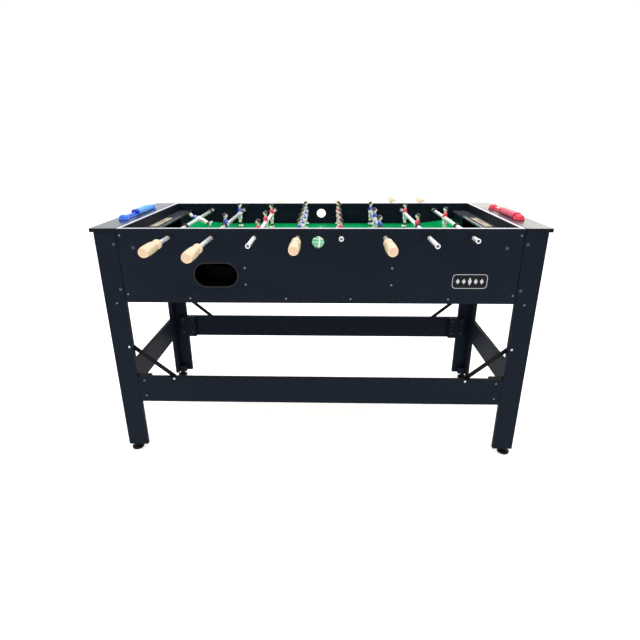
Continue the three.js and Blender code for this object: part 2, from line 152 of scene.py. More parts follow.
class Reading:
    """A node's output that takes Python arithmetic."""

    def __init__(self, finish, socket):
        self.finish, self.socket = finish, socket

    def math(self, operation, *operands, clamp=False):
        settings = {"operation": operation, "use_clamp": clamp}
        return self.finish.node("ShaderNodeMath", settings, dict(enumerate(operands)))

    def __add__(self, other):
        return self.math("ADD", self, other)

    def __sub__(self, other):
        return self.math("SUBTRACT", self, other)

    def __mul__(self, other):
        return self.math("MULTIPLY", self, other)

    def __rsub__(self, other):
        return self.math("SUBTRACT", other, self)

    __radd__ = __add__
    __rmul__ = __mul__

    def size(self):
        return self.math("ABSOLUTE", self)

    def above(self, limit, blur):
        """0 below the limit and 1 above it, over a soft edge."""
        return self.math("MULTIPLY_ADD", self, 1 / blur, 0.5 - limit / blur, clamp=True)

    def below(self, limit, blur):
        return 1 - self.above(limit, blur)

    def near(self, place, half, blur):
        """1 within half a width of the place."""
        return (self - place).size().below(half, blur)


class Finish:
    """A material with one Principled shader. Constants are set on the shader's own sockets."""

    def __init__(self, name, constants):
        self.material = bpy.data.materials.new(name)
        self.material.use_nodes = True
        self.tree = self.material.node_tree
        self.shader = self.tree.nodes["Principled BSDF"]
        for socket, value in constants.items():
            self.shader.inputs[socket].default_value = value

    def put(self, socket, value):
        if isinstance(value, Reading):
            self.tree.links.new(value.socket, socket)
        else:
            socket.default_value = value

    def node(self, kind, settings=None, sockets=None, output=0):
        """Any node: its settings first, then the values or links of its sockets."""
        node = self.tree.nodes.new(kind)
        for key, value in (settings or {}).items():
            if key == "stops":
                for at, tone in value[1:-1]:
                    node.color_ramp.elements.new(at).color = (*tone, 1)
                for end in (0, -1):
                    node.color_ramp.elements[end].position = value[end][0]
                    node.color_ramp.elements[end].color = (*value[end][1], 1)
            else:
                setattr(node, key, value)
        for key, value in (sockets or {}).items():
            self.put(node.inputs[key], value)
        return Reading(self, node.outputs[output])

    def place(self, scale=(1, 1, 1)):
        """The point's place on the object, stretched by a scale."""
        here = self.node("ShaderNodeTexCoord", output="Object")
        return self.node("ShaderNodeVectorMath", {"operation": "MULTIPLY"}, {0: here, 1: scale})

    def own_place(self, scale=(1, 1, 1)):
        """The point's place on its own piece in mm, as the mesh remembers it."""
        here = self.node("ShaderNodeAttribute", {"attribute_name": "own_place"}, output="Vector")
        return self.node("ShaderNodeVectorMath", {"operation": "MULTIPLY"}, {0: here, 1: scale})

    def axes(self, vector):
        split = self.node("ShaderNodeSeparateXYZ", None, {0: vector})
        return [Reading(self, socket) for socket in split.socket.node.outputs]

    def noise(self, vector, scale, detail=2.0):
        return self.node("ShaderNodeTexNoise", None,
                         {"Vector": vector, "Scale": scale, "Detail": detail})

    def blend(self, mask, base, other):
        """A colour mix: base where the mask is 0, other where it is 1."""
        sockets = {0: mask}
        for index, tone in ((6, base), (7, other)):
            sockets[index] = tone if isinstance(tone, Reading) else (*tone, 1)
        return self.node("ShaderNodeMix", {"data_type": "RGBA"}, sockets, output=2)

    def color(self, value):
        self.put(self.shader.inputs["Base Color"],
                 value if isinstance(value, Reading) else (*value, 1))

    def rough(self, value):
        self.put(self.shader.inputs["Roughness"], value)

    def bump(self, height, strength, distance):
        relief = self.node("ShaderNodeBump", None,
                           {"Height": height, "Strength": strength, "Distance": distance})
        self.put(self.shader.inputs["Normal"], relief)


print("finish helpers ready")

# %% [markdown]
# ## Finishes for boards
# The boards are fibreboard in a near-black melamine foil. Such a foil is never quite even: it has a
# very fine pebble, cloudy gloss and a few pale rub marks. The end tops take a paler copy of the
# same foil, whose lighter colour is painted sheen.

# %% Black laminate


def laminate(name, dark, pale, gloss, shine):
    foil = Finish(name, {"Specular IOR Level": shine, "Specular Tint": (0.74, 0.88, 1.0, 1)})
    here = foil.place()
    cloud = foil.noise(here, 7.0, 4.0)
    pebble = foil.noise(here, 1400.0, 1.0)
    rub = foil.noise(foil.place((30, 30, 6)), 9.0, 6.0).above(0.66, 0.08)      # long faint marks
    tone = foil.blend(cloud, dark, pale)
    foil.color(foil.blend(rub * 0.10, tone, (0.04, 0.048, 0.062)))
    foil.rough(cloud * 0.14 + pebble * 0.05 + rub * 0.08 + gloss)
    foil.bump(pebble, 0.12, 0.0002)
    return foil.material


black_laminate = laminate("black_laminate", (0.0044, 0.0066, 0.0122), (0.0068, 0.0100, 0.0172),
                          0.44, 0.06)
# The end tops are the same foil as the other boards. Their paler, bluer base colour is painted
# sheen from the lamps.
sheened_top_laminate = laminate("end_top_laminate", (0.020, 0.032, 0.052), (0.028, 0.044, 0.070),
                        0.13, 0.30)
print("laminates:", black_laminate.name, sheened_top_laminate.name)

# %% [markdown]
# Cut edges are closed with a thin black band, a little glossier than the face. The raw underside
# of the bottom board shows brown fibre, so it has its own speckled finish.

# %% Edge band and raw fibreboard
band = Finish("edge_band", {"Specular IOR Level": 0.06})
band_grain = band.noise(band.place(), 260.0, 3.0)
band.color(band.blend(band_grain, (0.003, 0.004, 0.006), (0.006, 0.008, 0.011)))
band.rough(band_grain * 0.2 + 0.42)
edge_band = band.material

fibre = Finish("raw_fibreboard", {"Specular IOR Level": 0.2})
fibre_fleck = fibre.noise(fibre.place(), 420.0, 6.0)
fibre_cloud = fibre.noise(fibre.place(), 12.0, 2.0)
fibre.color(fibre.node("ShaderNodeValToRGB", {"stops": [
    (0.3, (0.10, 0.062, 0.034)), (0.55, (0.21, 0.14, 0.082)), (0.8, (0.30, 0.21, 0.13))]},
    {0: fibre_fleck * 0.7 + fibre_cloud * 0.3}))
fibre.rough(fibre_fleck * 0.2 + 0.7)
fibre.bump(fibre_fleck, 0.4, 0.0003)
raw_fibreboard = fibre.material
print("edges:", edge_band.name, raw_fibreboard.name)

# %% [markdown]
# ## The printed pitch
# The pitch is a glossy printed board. Its lines are drawn with distances: a halfway line, a centre
# circle with a spot and a small box before each goal.

# %% Pitch finish
LINE = 3.5 * MM
BLUR = 0.8 * MM
CIRCLE_RADIUS = 100 * MM
SPOT_RADIUS = 46 * MM
SPOT_DISC = 12 * MM
HALFWAY_REACH = 198 * MM
GOAL_AREA = (118 * MM, 88 * MM)
pitch = Finish("pitch_print", {"Specular IOR Level": 0.5})
px, py, _ = pitch.axes(pitch.place())
py = py - MIDDLE_Y
square = px * px + py * py
radius = square.math("SQRT", square)
halfway = px.near(0, 0.6 * LINE, BLUR) * py.size().below(HALFWAY_REACH, BLUR)
ring = radius.near(CIRCLE_RADIUS, LINE, BLUR)
spot = radius.near(SPOT_RADIUS, 2 * LINE, BLUR)
spot = spot.math("MAXIMUM", spot, radius.below(SPOT_DISC, BLUR))
goal_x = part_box("playfield")[1].x - px.size()
area_side = py.size().near(GOAL_AREA[1], LINE, BLUR) * goal_x.below(GOAL_AREA[0] + LINE, BLUR)
area_front = goal_x.near(GOAL_AREA[0], LINE, BLUR) * py.size().below(GOAL_AREA[1] + LINE, BLUR)
lines = halfway.math("MAXIMUM", halfway, ring)
for mark in (spot, area_side, area_front):
    lines = lines.math("MAXIMUM", lines, mark)
print_grain = pitch.noise(pitch.place(), 900.0, 2.0)
mown = pitch.noise(pitch.place(), 5.0, 3.0)
turf = pitch.blend(mown, (0.0, 0.36, 0.098), (0.0, 0.44, 0.125))
turf = pitch.blend(print_grain * 0.25, turf, (0.002, 0.26, 0.075))
pitch.color(pitch.blend(lines, turf, (0.75, 0.80, 0.76)))
pitch.rough(mown * 0.10 + print_grain * 0.04 + 0.16)
pitch.bump(print_grain, 0.05, 0.0002)
pitch_print = pitch.material
print("pitch finish:", pitch_print.name)

# %% [markdown]
# ## Metals
# Chrome is nearly all reflection, so its life comes from faint wipe marks along the rod. It is kept
# half metallic, which holds its white in a dark box. Zinc screws are duller and greyer. The rim
# strip is brushed.

# %% Metals


def metal(name, tone, gloss, stretch, grain, wear, metallic=1.0):
    bare = Finish(name, {"Metallic": metallic})
    streak = bare.noise(bare.place(stretch), grain, 4.0)
    dirt = bare.noise(bare.place(), 30.0, 3.0)
    bare.color(bare.blend(dirt, tone, [c * 0.82 for c in tone]))
    bare.rough(streak * wear + dirt * wear * 0.5 + gloss)
    bare.bump(streak, 0.05, 0.00005)
    return bare.material


chrome = metal("rod_chrome", (0.95, 0.96, 0.98), 0.20, (1, 0.05, 1), 500.0, 0.05, 0.5)
zinc = metal("screw_zinc", (0.17, 0.19, 0.24), 0.26, (1, 1, 1), 300.0, 0.22)
bolt_zinc = metal("bolt_zinc", (0.07, 0.08, 0.11), 0.12, (1, 1, 1), 300.0, 0.18)
bright_zinc = metal("bright_zinc", (0.62, 0.64, 0.68), 0.24, (1, 1, 1), 300.0, 0.22)

strip = Finish("rim_strip", {"Specular IOR Level": 0.5, "Metallic": 0.5})
brushed = strip.noise(strip.place((4, 60, 60)), 24.0, 4.0)
scuff = strip.noise(strip.place(), 60.0, 5.0).above(0.62, 0.1)
strip.color(strip.blend(scuff * 0.3, strip.blend(brushed, (0.60, 0.60, 0.67), (0.76, 0.76, 0.81)),
                        (0.40, 0.40, 0.43)))
strip.rough(brushed * 0.16 + 0.24)
strip.bump(brushed, 0.08, 0.0001)
rim_strip = strip.material

black_paint = Finish("powder_black", {"Specular IOR Level": 0.1})
orange_peel = black_paint.noise(black_paint.place(), 700.0, 2.0)
black_paint.color(black_paint.blend(orange_peel, (0.002, 0.002, 0.003), (0.005, 0.005, 0.006)))
black_paint.rough(orange_peel * 0.2 + 0.42)
black_paint.bump(orange_peel, 0.3, 0.0002)
powder_black = black_paint.material
print("metals:", chrome.name, zinc.name, rim_strip.name, powder_black.name)

# %% [markdown]
# ## Plastics and rubber
# Moulded plastic shows a fine spark-eroded texture. The scorers are glossy and slightly
# translucent, which a little subsurface light gives.

# %% Plastics


def moulded(name, tone, gloss, grain, constants=None):
    plastic = Finish(name, constants or {"Specular IOR Level": 0.5})
    spark = plastic.noise(plastic.place(), grain, 2.0)
    flow = plastic.noise(plastic.place(), 25.0, 3.0)
    plastic.color(plastic.blend(flow, [c * 0.86 for c in tone], [min(1, c * 1.1) for c in tone]))
    plastic.rough(spark * 0.12 + flow * 0.08 + gloss)
    plastic.bump(spark, 0.15, 0.0001)
    return plastic.material


black_plastic = moulded("black_plastic", (0.0035, 0.004, 0.0055), 0.34, 1200.0,
                        {"Specular IOR Level": 0.12})
tray_plastic = moulded("tray_plastic", (0.0006, 0.0006, 0.0007), 0.5, 900.0,
                       {"Specular IOR Level": 0.05})
black_rubber = moulded("black_rubber", (0.011, 0.011, 0.012), 0.55, 700.0)
bezel_plastic = moulded("bezel_plastic", (0.002, 0.002, 0.0025), 0.10, 1500.0,
                        {"Specular IOR Level": 0.3})
silver_print = moulded("silver_print", (0.45, 0.46, 0.48), 0.3, 800.0)
GLOSSY = {"Subsurface Weight": 0.12, "Subsurface Scale": 0.004, "Coat Weight": 0.3}
# The beads take a paler tone than the domes. Part of that paler tone, the blue most of all, is
# painted reflection of the bright room.
bead_tones_and_sheen = {
    "left": moulded("scorer_blue", (0.0, 0.31, 0.82), 0.20, 900.0, GLOSSY),
    "right": moulded("scorer_red", (0.78, 0.02, 0.09), 0.20, 900.0, GLOSSY),
}
dome_tones = {
    "left": moulded("dome_blue", (0.0, 0.12, 0.76), 0.16, 900.0, GLOSSY),
    "right": moulded("dome_red", (0.74, 0.0, 0.03), 0.16, 900.0, GLOSSY),
}
marker_tones = {
    "left": moulded("marker_blue", (0.0, 0.045, 0.50), 0.22, 900.0, GLOSSY),
    "right": moulded("marker_red", (0.46, 0.0, 0.02), 0.22, 900.0, GLOSSY),
}
print("plastics:", len(bead_tones_and_sheen) + len(dome_tones) + len(marker_tones) + 5)

# %% [markdown]
# ## Turned wood
# The handles are pale hardwood under clear lacquer. Growth rings are distances from an axis a
# little off the handle's own, so the side shows long grain and the end shows arcs, as in a real
# turning. Each handle remembers its own place in mm, so the rings turn with it.

# %% Handle wood
wood = Finish("handle_wood",
              {"Specular IOR Level": 0.5, "Coat Weight": 0.35, "Coat Roughness": 0.12})
HEART = (-23, -9)          # the tree's heart, in mm from the handle's axis
RING_RATE = 2.1            # radians of the ring pattern in each mm
wx, wy, _ = wood.axes(wood.own_place())
warp = wood.noise(wood.own_place((0.05, 0.05, 0.008)), 1.2, 3.0)
off_x, off_y = wx - HEART[0], wy - HEART[1]
ring_square = off_x * off_x + off_y * off_y
ring_distance = ring_square.math("SQRT", ring_square)
ring_phase = ring_distance * RING_RATE + warp * 9
rings = ring_phase.math("SINE", ring_phase) * 0.5 + 0.5
pore = wood.noise(wood.own_place((1.6, 1.6, 0.06)), 1.6, 4.0)
end_grain = wood.node("ShaderNodeAttribute", {"attribute_name": "end_grain"}, output="Fac")
side_tone = wood.blend(rings * 0.7, (0.72, 0.60, 0.40), (0.61, 0.46, 0.26))
end_tone = wood.blend(rings, (0.69, 0.49, 0.34), (0.56, 0.35, 0.22))
wood_tone = wood.blend(end_grain, side_tone, end_tone)
wood.color(wood.blend(pore.above(0.62, 0.1) * 0.35, wood_tone, (0.42, 0.26, 0.12)))
wood.rough(pore * 0.14 + end_grain * 0.12 + 0.30)
wood.bump(pore + rings * 0.15, 0.12, 0.0003)
handle_wood = wood.material
print("wood:", handle_wood.name)

# %% [markdown]
# ## Painted players
# A player is one plastic casting with its kit painted on. The paint follows the figure's own
# heights in mm, which each mesh remembers, so the colour edges stay sharp at any mesh density.

# %% Player paint
SOLE_TOP, BOOT_TOP, SOCK_TOP, SHORTS_HEM = -50.4, -43.5, -34.5, -21.0          # mm from the rod
COLLAR_LINE, NECK, NAPE, LIPS, EYES = 21.4, 22.6, 26.0, 29.0, 34.0


def player_paint(team, jersey, trim_and_sheen, socks, skin, hem):
    kit = Finish(f"player_paint_{team}", {"Specular IOR Level": 0.5, "Coat Weight": 0.25})
    x, y, z = kit.axes(kit.own_place())
    shake = kit.noise(kit.own_place(), 0.35, 2.0) * 1.2 - 0.6
    z = z + shake          # a hand-held brush wavers by half a millimetre
    side = y.size()
    tone = kit.blend(z.above(BOOT_TOP, 0.4), (0.84, 0.85, 0.87), socks)
    tone = kit.blend(z.above(SOCK_TOP, 0.5), tone, skin)
    tone = kit.blend(z.above(SHORTS_HEM, 0.5), tone, (0.84, 0.85, 0.88))
    stripe = x.near(0, 1.3, 0.4) * side.above(8.0, 0.6) * z.near(-14, 7.5, 0.5)
    tone = kit.blend(stripe, tone, jersey)
    tone = kit.blend(z.above(hem, 0.5), tone, jersey)
    forearm = side.above(10.6, 0.4) * z.near(0.5, 8.5, 0.5) * x.near(2.2, 3.4, 0.4)
    tone = kit.blend(forearm, tone, skin)
    # Cuffs, chest band and collar take the trim tone. On the blue kit this pale blue partly paints
    # the sheen of light across the top of the shirt.
    cuff = side.above(9.6, 0.4) * z.near(9.0, 0.8, 0.3)
    tone = kit.blend(cuff, tone, trim_and_sheen)
    chest = z.near(14.5, 0.9, 0.3) * x.above(3.0, 0.5)
    tone = kit.blend(chest, tone, trim_and_sheen)
    tone = kit.blend(z.above(COLLAR_LINE, 0.3), tone, trim_and_sheen)
    tone = kit.blend(z.above(NECK, 0.3), tone, skin)
    hairline = (z - x * 0.7).above(32.6, 0.5) * z.above(NAPE, 0.5)
    tone = kit.blend(hairline, tone, (0.018, 0.012, 0.010))
    eye = side.near(2.6, 0.8, 0.3) * z.near(EYES, 0.75, 0.3) * x.above(4.6, 0.5)
    tone = kit.blend(eye, tone, (0.015, 0.012, 0.012))
    mouth = side.below(1.7, 0.3) * z.near(LIPS, 0.4, 0.2) * x.above(4.4, 0.5)
    tone = kit.blend(mouth, tone, (0.42, 0.12, 0.10))
    sole = z.below(SOLE_TOP, 0.3)
    kit.color(kit.blend(sole, tone, (0.3, 0.3, 0.31)))
    skinned = kit.noise(kit.own_place(), 1.8, 3.0)
    kit.rough(skinned * 0.12 + hairline * 0.15 + 0.24)
    kit.bump(skinned, 0.10, 0.0003)
    return kit.material


SKIN = (0.95, 0.78, 0.64)
kits = {
    # The blue kit's pale blue trim is partly painted sheen on the top of the shirt.
    "blue": player_paint("blue", (0.015, 0.05, 0.50), (0.52, 0.58, 0.86),
                         (0.012, 0.022, 0.085), SKIN, 6.0),
    "red": player_paint("red", (0.76, 0.010, 0.045), (0.86, 0.50, 0.54),
                        (0.14, 0.028, 0.020), SKIN, 3.5),
}
print("kits:", [kit.name for kit in kits.values()])

# %% [markdown]
# ## Mesh helpers
# Three ways to make a piece cover nearly the whole table. A board is a box with a broken edge. A
# turned piece is a profile swept round an axis. A cut board is a flat curve with holes in it,
# which Blender fills, thickens and rounds in one go.

# %% Pieces and boards
WELD = 0.001 * MM          # points closer than this become one


def add_piece(name, mesh, body, slot=None, replaced=(), finishes=()):
    """Puts a finished mesh in the scene, on its body. The slot argument is not used."""
    for finish in finishes:
        mesh.materials.append(finish)
    piece = bpy.data.objects.new(name, mesh)
    bpy.context.scene.collection.objects.link(piece)
    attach(piece, body)
    if replaced:
        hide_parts(*replaced)
    return piece


def closed(shape, name):
    """A clean mesh with its faces turned outwards."""
    bmesh.ops.remove_doubles(shape, verts=shape.verts, dist=WELD)
    bmesh.ops.recalc_face_normals(shape, faces=shape.faces)
    mesh = bpy.data.meshes.new(name)
    shape.to_mesh(mesh)
    shape.free()
    return mesh


def add_shape(name, shape, *rest, **more):
    """Closes a shape and puts it in the scene."""
    return add_piece(name, closed(shape, name), *rest, **more)


def board_shape(low, high, edge=0.7 * MM, segments=2):
    """A board between two corners, with its edges lightly rounded."""
    low, high = Vector(map(min, low, high)), Vector(map(max, low, high))
    shape = bmesh.new()
    bmesh.ops.create_cube(shape, size=1.0)
    for vert in shape.verts:
        vert.co = Vector(a + (c + 0.5) * (b - a) for a, b, c in zip(low, high, vert.co))
    bmesh.ops.bevel(shape, geom=shape.edges[:], offset=edge, segments=segments, profile=0.5,
                    affect="EDGES", clamp_overlap=True)
    broad = 6 * edge * edge
    for face in shape.faces:
        straight = max(abs(c) for c in face.normal) > 0.999
        face.smooth = not (straight and face.calc_area() > broad)
    return shape


def board(name, low, high, body="table", slot="board_laminate", replaced=(), finish=None):
    """A laminated board. Its thin sides take the edge band."""
    shape = board_shape(low, high)
    size = [abs(b - a) for a, b in zip(low, high)]
    thin = size.index(min(size))
    for face in shape.faces:
        face.material_index = int(abs(face.normal[thin]) < 0.5)
    return add_shape(name, shape, body, slot, replaced, (finish or black_laminate, edge_band))


# %% Turned pieces and cut boards


def turned(name, profile, segments=32, ring=False, own=False):
    """A mesh turned about +Z from (radius, height) pairs in mm. A ring closes on itself."""
    points, rings, faces = [], [], []
    for radius, height in profile:
        spots = segments if radius else 1
        rings.append(range(len(points), len(points) + spots))
        for step in range(spots):
            angle = 2 * math.pi * step / segments
            points.append((radius * math.cos(angle), radius * math.sin(angle), height))
    pairs = list(zip(rings, rings[1:])) + ([(rings[-1], rings[0])] if ring else [])
    for low, high in pairs:
        for step in range(segments):
            after = (step + 1) % segments
            corners = [low[step % len(low)], low[after % len(low)],
                       high[after % len(high)], high[step % len(high)]]
            faces.append(list(dict.fromkeys(corners)))
    mesh = bpy.data.meshes.new(name)
    mesh.from_pydata(points, [], faces)
    if own:
        remember_place(mesh, 1.0)
    mesh.transform(Matrix.Scale(MM, 4))
    mesh.shade_smooth()
    mesh.set_sharp_from_angle(angle=math.radians(38))
    return mesh


def remember_place(mesh, to_mm):
    """Stores each vertex's place on its own piece, in mm."""
    spots = np.empty(len(mesh.vertices) * 3, np.float32)
    mesh.vertices.foreach_get("co", spots)
    memory = mesh.attributes.new("own_place", "FLOAT_VECTOR", "POINT")
    memory.data.foreach_set("vector", spots * to_mm)


def pointed(axis, place):
    """The matrix that turns +Z to the axis and moves the origin to the place."""
    turn = UP.rotation_difference(Vector(axis)).to_matrix().to_4x4()
    return Matrix.Translation(place) @ turn


def plain_mesh(piece):
    """The evaluated mesh of an object, which is then removed."""
    graph = bpy.context.evaluated_depsgraph_get()
    mesh = bpy.data.meshes.new_from_object(piece.evaluated_get(graph))
    bpy.data.objects.remove(piece)
    return mesh


def round_outline(x, z, radius, steps=40):
    turns = [2 * math.pi * step / steps for step in range(steps)]
    return [(x + radius * math.cos(a), z + radius * math.sin(a)) for a in turns]


def slot_outline(x, z, width, height, steps=24):
    """An outline with two half-round ends."""
    radius, reach = height / 2, (width - height) / 2
    half = [math.pi * (step / steps - 0.5) for step in range(steps + 1)]
    right_end = [(x + reach + radius * math.cos(a), z + radius * math.sin(a)) for a in half]
    return right_end + [(2 * x - px, 2 * z - pz) for px, pz in right_end]


def corner_outline(low, high, radius=0.0, steps=6):
    """A rectangle with rounded corners."""
    if not radius:
        return [low, (high[0], low[1]), high, (low[0], high[1])]
    outline = []
    for (x, z), start in (((high[0], high[1]), 0), ((low[0], high[1]), 1),
                          ((low[0], low[1]), 2), ((high[0], low[1]), 3)):
        cx = x + (-radius if x == high[0] else radius)
        cz = z + (-radius if z == high[1] else radius)
        for step in range(steps + 1):
            angle = math.pi / 2 * (start + step / steps)
            outline.append((cx + radius * math.cos(angle), cz + radius * math.sin(angle)))
    return outline


def cut_shape(name, outlines, thickness, edge=0.6 * MM):
    """A plate in X and Y with holes, centred on Z = 0."""
    flat = bpy.data.curves.new(name, "CURVE")
    flat.dimensions, flat.fill_mode = "2D", "BOTH"
    flat.extrude, flat.bevel_depth, flat.offset = thickness / 2 - edge, edge, -edge
    flat.bevel_resolution = 1
    for outline in outlines:
        loop = flat.splines.new("POLY")
        loop.points.add(len(outline) - 1)
        loop.points.foreach_set("co", [c for x, y in outline for c in (x, y, 0, 1)])
        loop.use_cyclic_u = True
    carrier = bpy.data.objects.new(name, flat)
    bpy.context.scene.collection.objects.link(carrier)
    mesh = plain_mesh(carrier)
    shape = bmesh.new()
    shape.from_mesh(mesh)
    mesh = closed(shape, name)
    mesh.shade_smooth()
    for face in mesh.polygons:
        if abs(face.normal.z) > 0.999:
            face.use_smooth = False
    mesh.set_sharp_from_angle(angle=math.radians(40))
    return mesh


STAND_UP = Matrix.Rotation(math.pi / 2, 4, "X")                # plate X, Y becomes X, Z
FACE_END = Matrix.Rotation(math.pi / 2, 4, "Z") @ STAND_UP     # plate X, Y becomes Y, Z
BOARDED = (black_laminate, edge_band)


def edge_bands(mesh, axis):
    """Gives every face that doesn't look along the axis the second finish."""
    for face in mesh.polygons:
        face.material_index = int(abs(face.normal[axis]) < 0.7)


print("mesh helpers ready")

# %% [markdown]
# ## The long panels
# Each long panel is one board with eight round holes for the bushings and one for throwing the
# ball in. The near one also has the slot where the balls come out. A flat curve with holes keeps
# the holes truly round, which a boolean on a coarse box wouldn't.

# %% Long panels
ENTRY_Z, ENTRY_RADIUS = RIM_Z - 42 * MM, 19 * MM
RETURN_X, RETURN_Z = -319.5 * MM, RIM_Z - 145 * MM
RETURN_SIZE = (137 * MM, 76 * MM)
BUSHING_SEAT = 11 * MM
RIM_THICK = 1.2 * MM
SEAM_EASE = 0.7 * MM           # sanded off the panel ends, so that the seam reads as a line


def long_panel(name, outer_y, inward, extra):
    reach = CABINET_X - SEAM_EASE
    outlines = [corner_outline((-reach, CABINET_BOTTOM), (reach, RIM_Z - RIM_THICK))]
    outlines += [round_outline(rod["middle"].x, rod["middle"].z, BUSHING_SEAT) for rod in RODS]
    outlines.append(round_outline(0, ENTRY_Z, ENTRY_RADIUS))
    mesh = cut_shape(name, outlines + extra, BOARD)
    mesh.transform(Matrix.Translation((0, outer_y + inward * BOARD / 2, 0)) @ STAND_UP)
    edge_bands(mesh, 1)
    return add_piece(name, mesh, "table", "board_laminate", (name.removesuffix("_board"),), BOARDED)


ball_slot = slot_outline(RETURN_X, RETURN_Z, *RETURN_SIZE)
long_panel("front_panel_board", FRONT_Y, 1, [ball_slot])
long_panel("back_panel_board", BACK_Y, -1, [])
print("panel holes:", len(RODS) + 1)

# %% [markdown]
# ## End walls, rim and end assemblies
# The box closes with an end wall at each side. A pale strip with mitred corners covers its top
# edges. Outside a narrow seam stand the end assemblies: the top that carries the scorer, an inner
# board, an apron and a low stretcher between the legs.

# %% End walls and end assemblies
for side in SIDES:
    low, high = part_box(f"end_wall_{side}")
    board(f"end_wall_{side}_board", low, (high.x, high.y, RIM_Z - RIM_THICK),
          replaced=(f"end_wall_{side}",))
    # The end tops take the paler foil, whose lighter colour is painted sheen.
    board(f"end_top_{side}_board", *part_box(f"end_top_{side}"), replaced=(f"end_top_{side}",),
          finish=sheened_top_laminate)
    for part in ("end_board", "end_apron", "side_stretcher"):
        board(f"{part}_{side}_board", *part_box(f"{part}_{side}"), replaced=(f"{part}_{side}",))

# %% Rim strip
RIM_WIDTH = 11 * MM
RIM_INSET = 1.6 * MM
MITRE_GAP = 0.15 * MM


def mitred_strip(name, start, end, inward):
    """A strip along an edge, cut at 45 degrees at both ends."""
    along = (end - start).normalized()
    across = inward * RIM_WIDTH
    gap = MITRE_GAP * along
    foot = [start + gap, end - gap, end - gap + across - along * RIM_WIDTH,
            start + gap + across + along * RIM_WIDTH]
    shape = bmesh.new()
    verts = [shape.verts.new(p + UP * h) for h in (0, RIM_THICK) for p in foot]
    for loop in ((3, 2, 1, 0), (4, 5, 6, 7),
                 (0, 1, 5, 4), (1, 2, 6, 5), (2, 3, 7, 6), (3, 0, 4, 7)):
        shape.faces.new([verts[i] for i in loop])
    bmesh.ops.recalc_face_normals(shape, faces=shape.faces)
    bmesh.ops.bevel(shape, geom=shape.edges[:], offset=0.35 * MM, segments=2, profile=0.5,
                    affect="EDGES", clamp_overlap=True)
    for face in shape.faces:
        face.smooth = abs(face.normal.z) < 0.99
    return add_shape(name, shape, "table", finishes=(rim_strip,))


seat = RIM_Z - RIM_THICK
rim_x, rim_front, rim_back = CABINET_X - RIM_INSET, FRONT_Y + RIM_INSET, BACK_Y - RIM_INSET
nw, ne = Vector((-rim_x, rim_back, seat)), Vector((rim_x, rim_back, seat))
sw, se = Vector((-rim_x, rim_front, seat)), Vector((rim_x, rim_front, seat))
mitred_strip("rim_front", sw, se, Vector((0, 1, 0)))
mitred_strip("rim_back", ne, nw, Vector((0, -1, 0)))
mitred_strip("rim_right", se, ne, Vector((-1, 0, 0)))
mitred_strip("rim_left", nw, sw, Vector((1, 0, 0)))
print("rim strips 4, width", RIM_WIDTH)

# %% [markdown]
# ## The pitch and the goals
# The pitch lies on the cross beams. Each corner climbs to the wall so that a ball rolls out of it.
# A grid of points takes that height from the distance to the corner.

# %% Pitch
CORNER_RISE, CORNER_REACH = 20 * MM, (140 * MM, 100 * MM)
SKIRT_GAP = 0.1 * MM           # from the board's lower edge to the cross beams
pitch_low, pitch_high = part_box("playfield")
shape = bmesh.new()
columns, rows = 160, 84
stride = columns + 1
grid = []
for row in range(rows + 1):
    for column in range(columns + 1):
        x = pitch_low.x + (pitch_high.x - pitch_low.x) * column / columns
        y = pitch_low.y + (pitch_high.y - pitch_low.y) * row / rows
        near_x = (pitch_high.x - abs(x)) / CORNER_REACH[0]
        near_y = (pitch_high.y - MIDDLE_Y - abs(y - MIDDLE_Y)) / CORNER_REACH[1]
        climb = max(0.0, 1 - near_x - near_y)
        grid.append(shape.verts.new((x, y, FIELD_Z + CORNER_RISE * climb * (0.75 + 0.25 * climb))))
for row in range(rows):
    for column in range(columns):
        a = row * stride + column
        corners = (a, a + 1, a + stride + 1, a + stride)
        shape.faces.new([grid[i] for i in corners]).smooth = True
border = [edge for edge in shape.edges if edge.is_boundary]
skirt = bmesh.ops.extrude_edge_only(shape, edges=border)["geom"]
for vert in (item for item in skirt if isinstance(item, bmesh.types.BMVert)):
    vert.co.z = pitch_low.z + SKIRT_GAP
bmesh.ops.contextual_create(shape, geom=[e for e in shape.edges if e.is_boundary])
field = add_shape("pitch_board", shape, "table", "playfield_green", ("playfield",), (pitch_print,))
field.data.set_sharp_from_angle(angle=math.radians(35))
print("pitch faces:", len(field.data.polygons))

# %% [markdown]
# A goal is a hole in a thin wall with a pit behind it. The flat ledge over the pit carries a pale
# printed card, here with plain bars.

# %% Ledge print
CARD_X, CARD_HALF_X, CARD_HALF_Y = 577.5 * MM, 12.5 * MM, 92 * MM
LEDGE_DROP = 31 * MM           # the print is only above this, on the ledge's top
BAR_RATE = 260                 # radians of the bars' wave in each metre
BAR_HALF, BARS_HALF = 5 * MM, 38 * MM
ledge = Finish("ledge_print", {"Specular IOR Level": 0.6})
lx, ly, lz = ledge.axes(ledge.place())
lx, ly = lx.size() - CARD_X, ly - MIDDLE_Y
on_card = lx.size().below(CARD_HALF_X, BLUR) * ly.size().below(CARD_HALF_Y, BLUR)
on_card = on_card * lz.above(RIM_Z - LEDGE_DROP, 0.2 * MM)
wave = ly * BAR_RATE
bars = wave.math("SINE", wave).above(0.0, 0.4) * lx.near(0, BAR_HALF, BLUR)
bars = bars * ly.size().below(BARS_HALF, BLUR)
ledge_cloud = ledge.noise(ledge.place(), 14.0, 4.0)
ledge_tone = ledge.blend(ledge_cloud, (0.055, 0.060, 0.074), (0.075, 0.080, 0.094))
card_tone = ledge.blend(bars, (0.78, 0.72, 0.50), (0.34, 0.07, 0.06))
ledge.color(ledge.blend(on_card, ledge_tone, card_tone))
ledge.rough(ledge_cloud * 0.08 + 0.06)
ledge_print = ledge.material

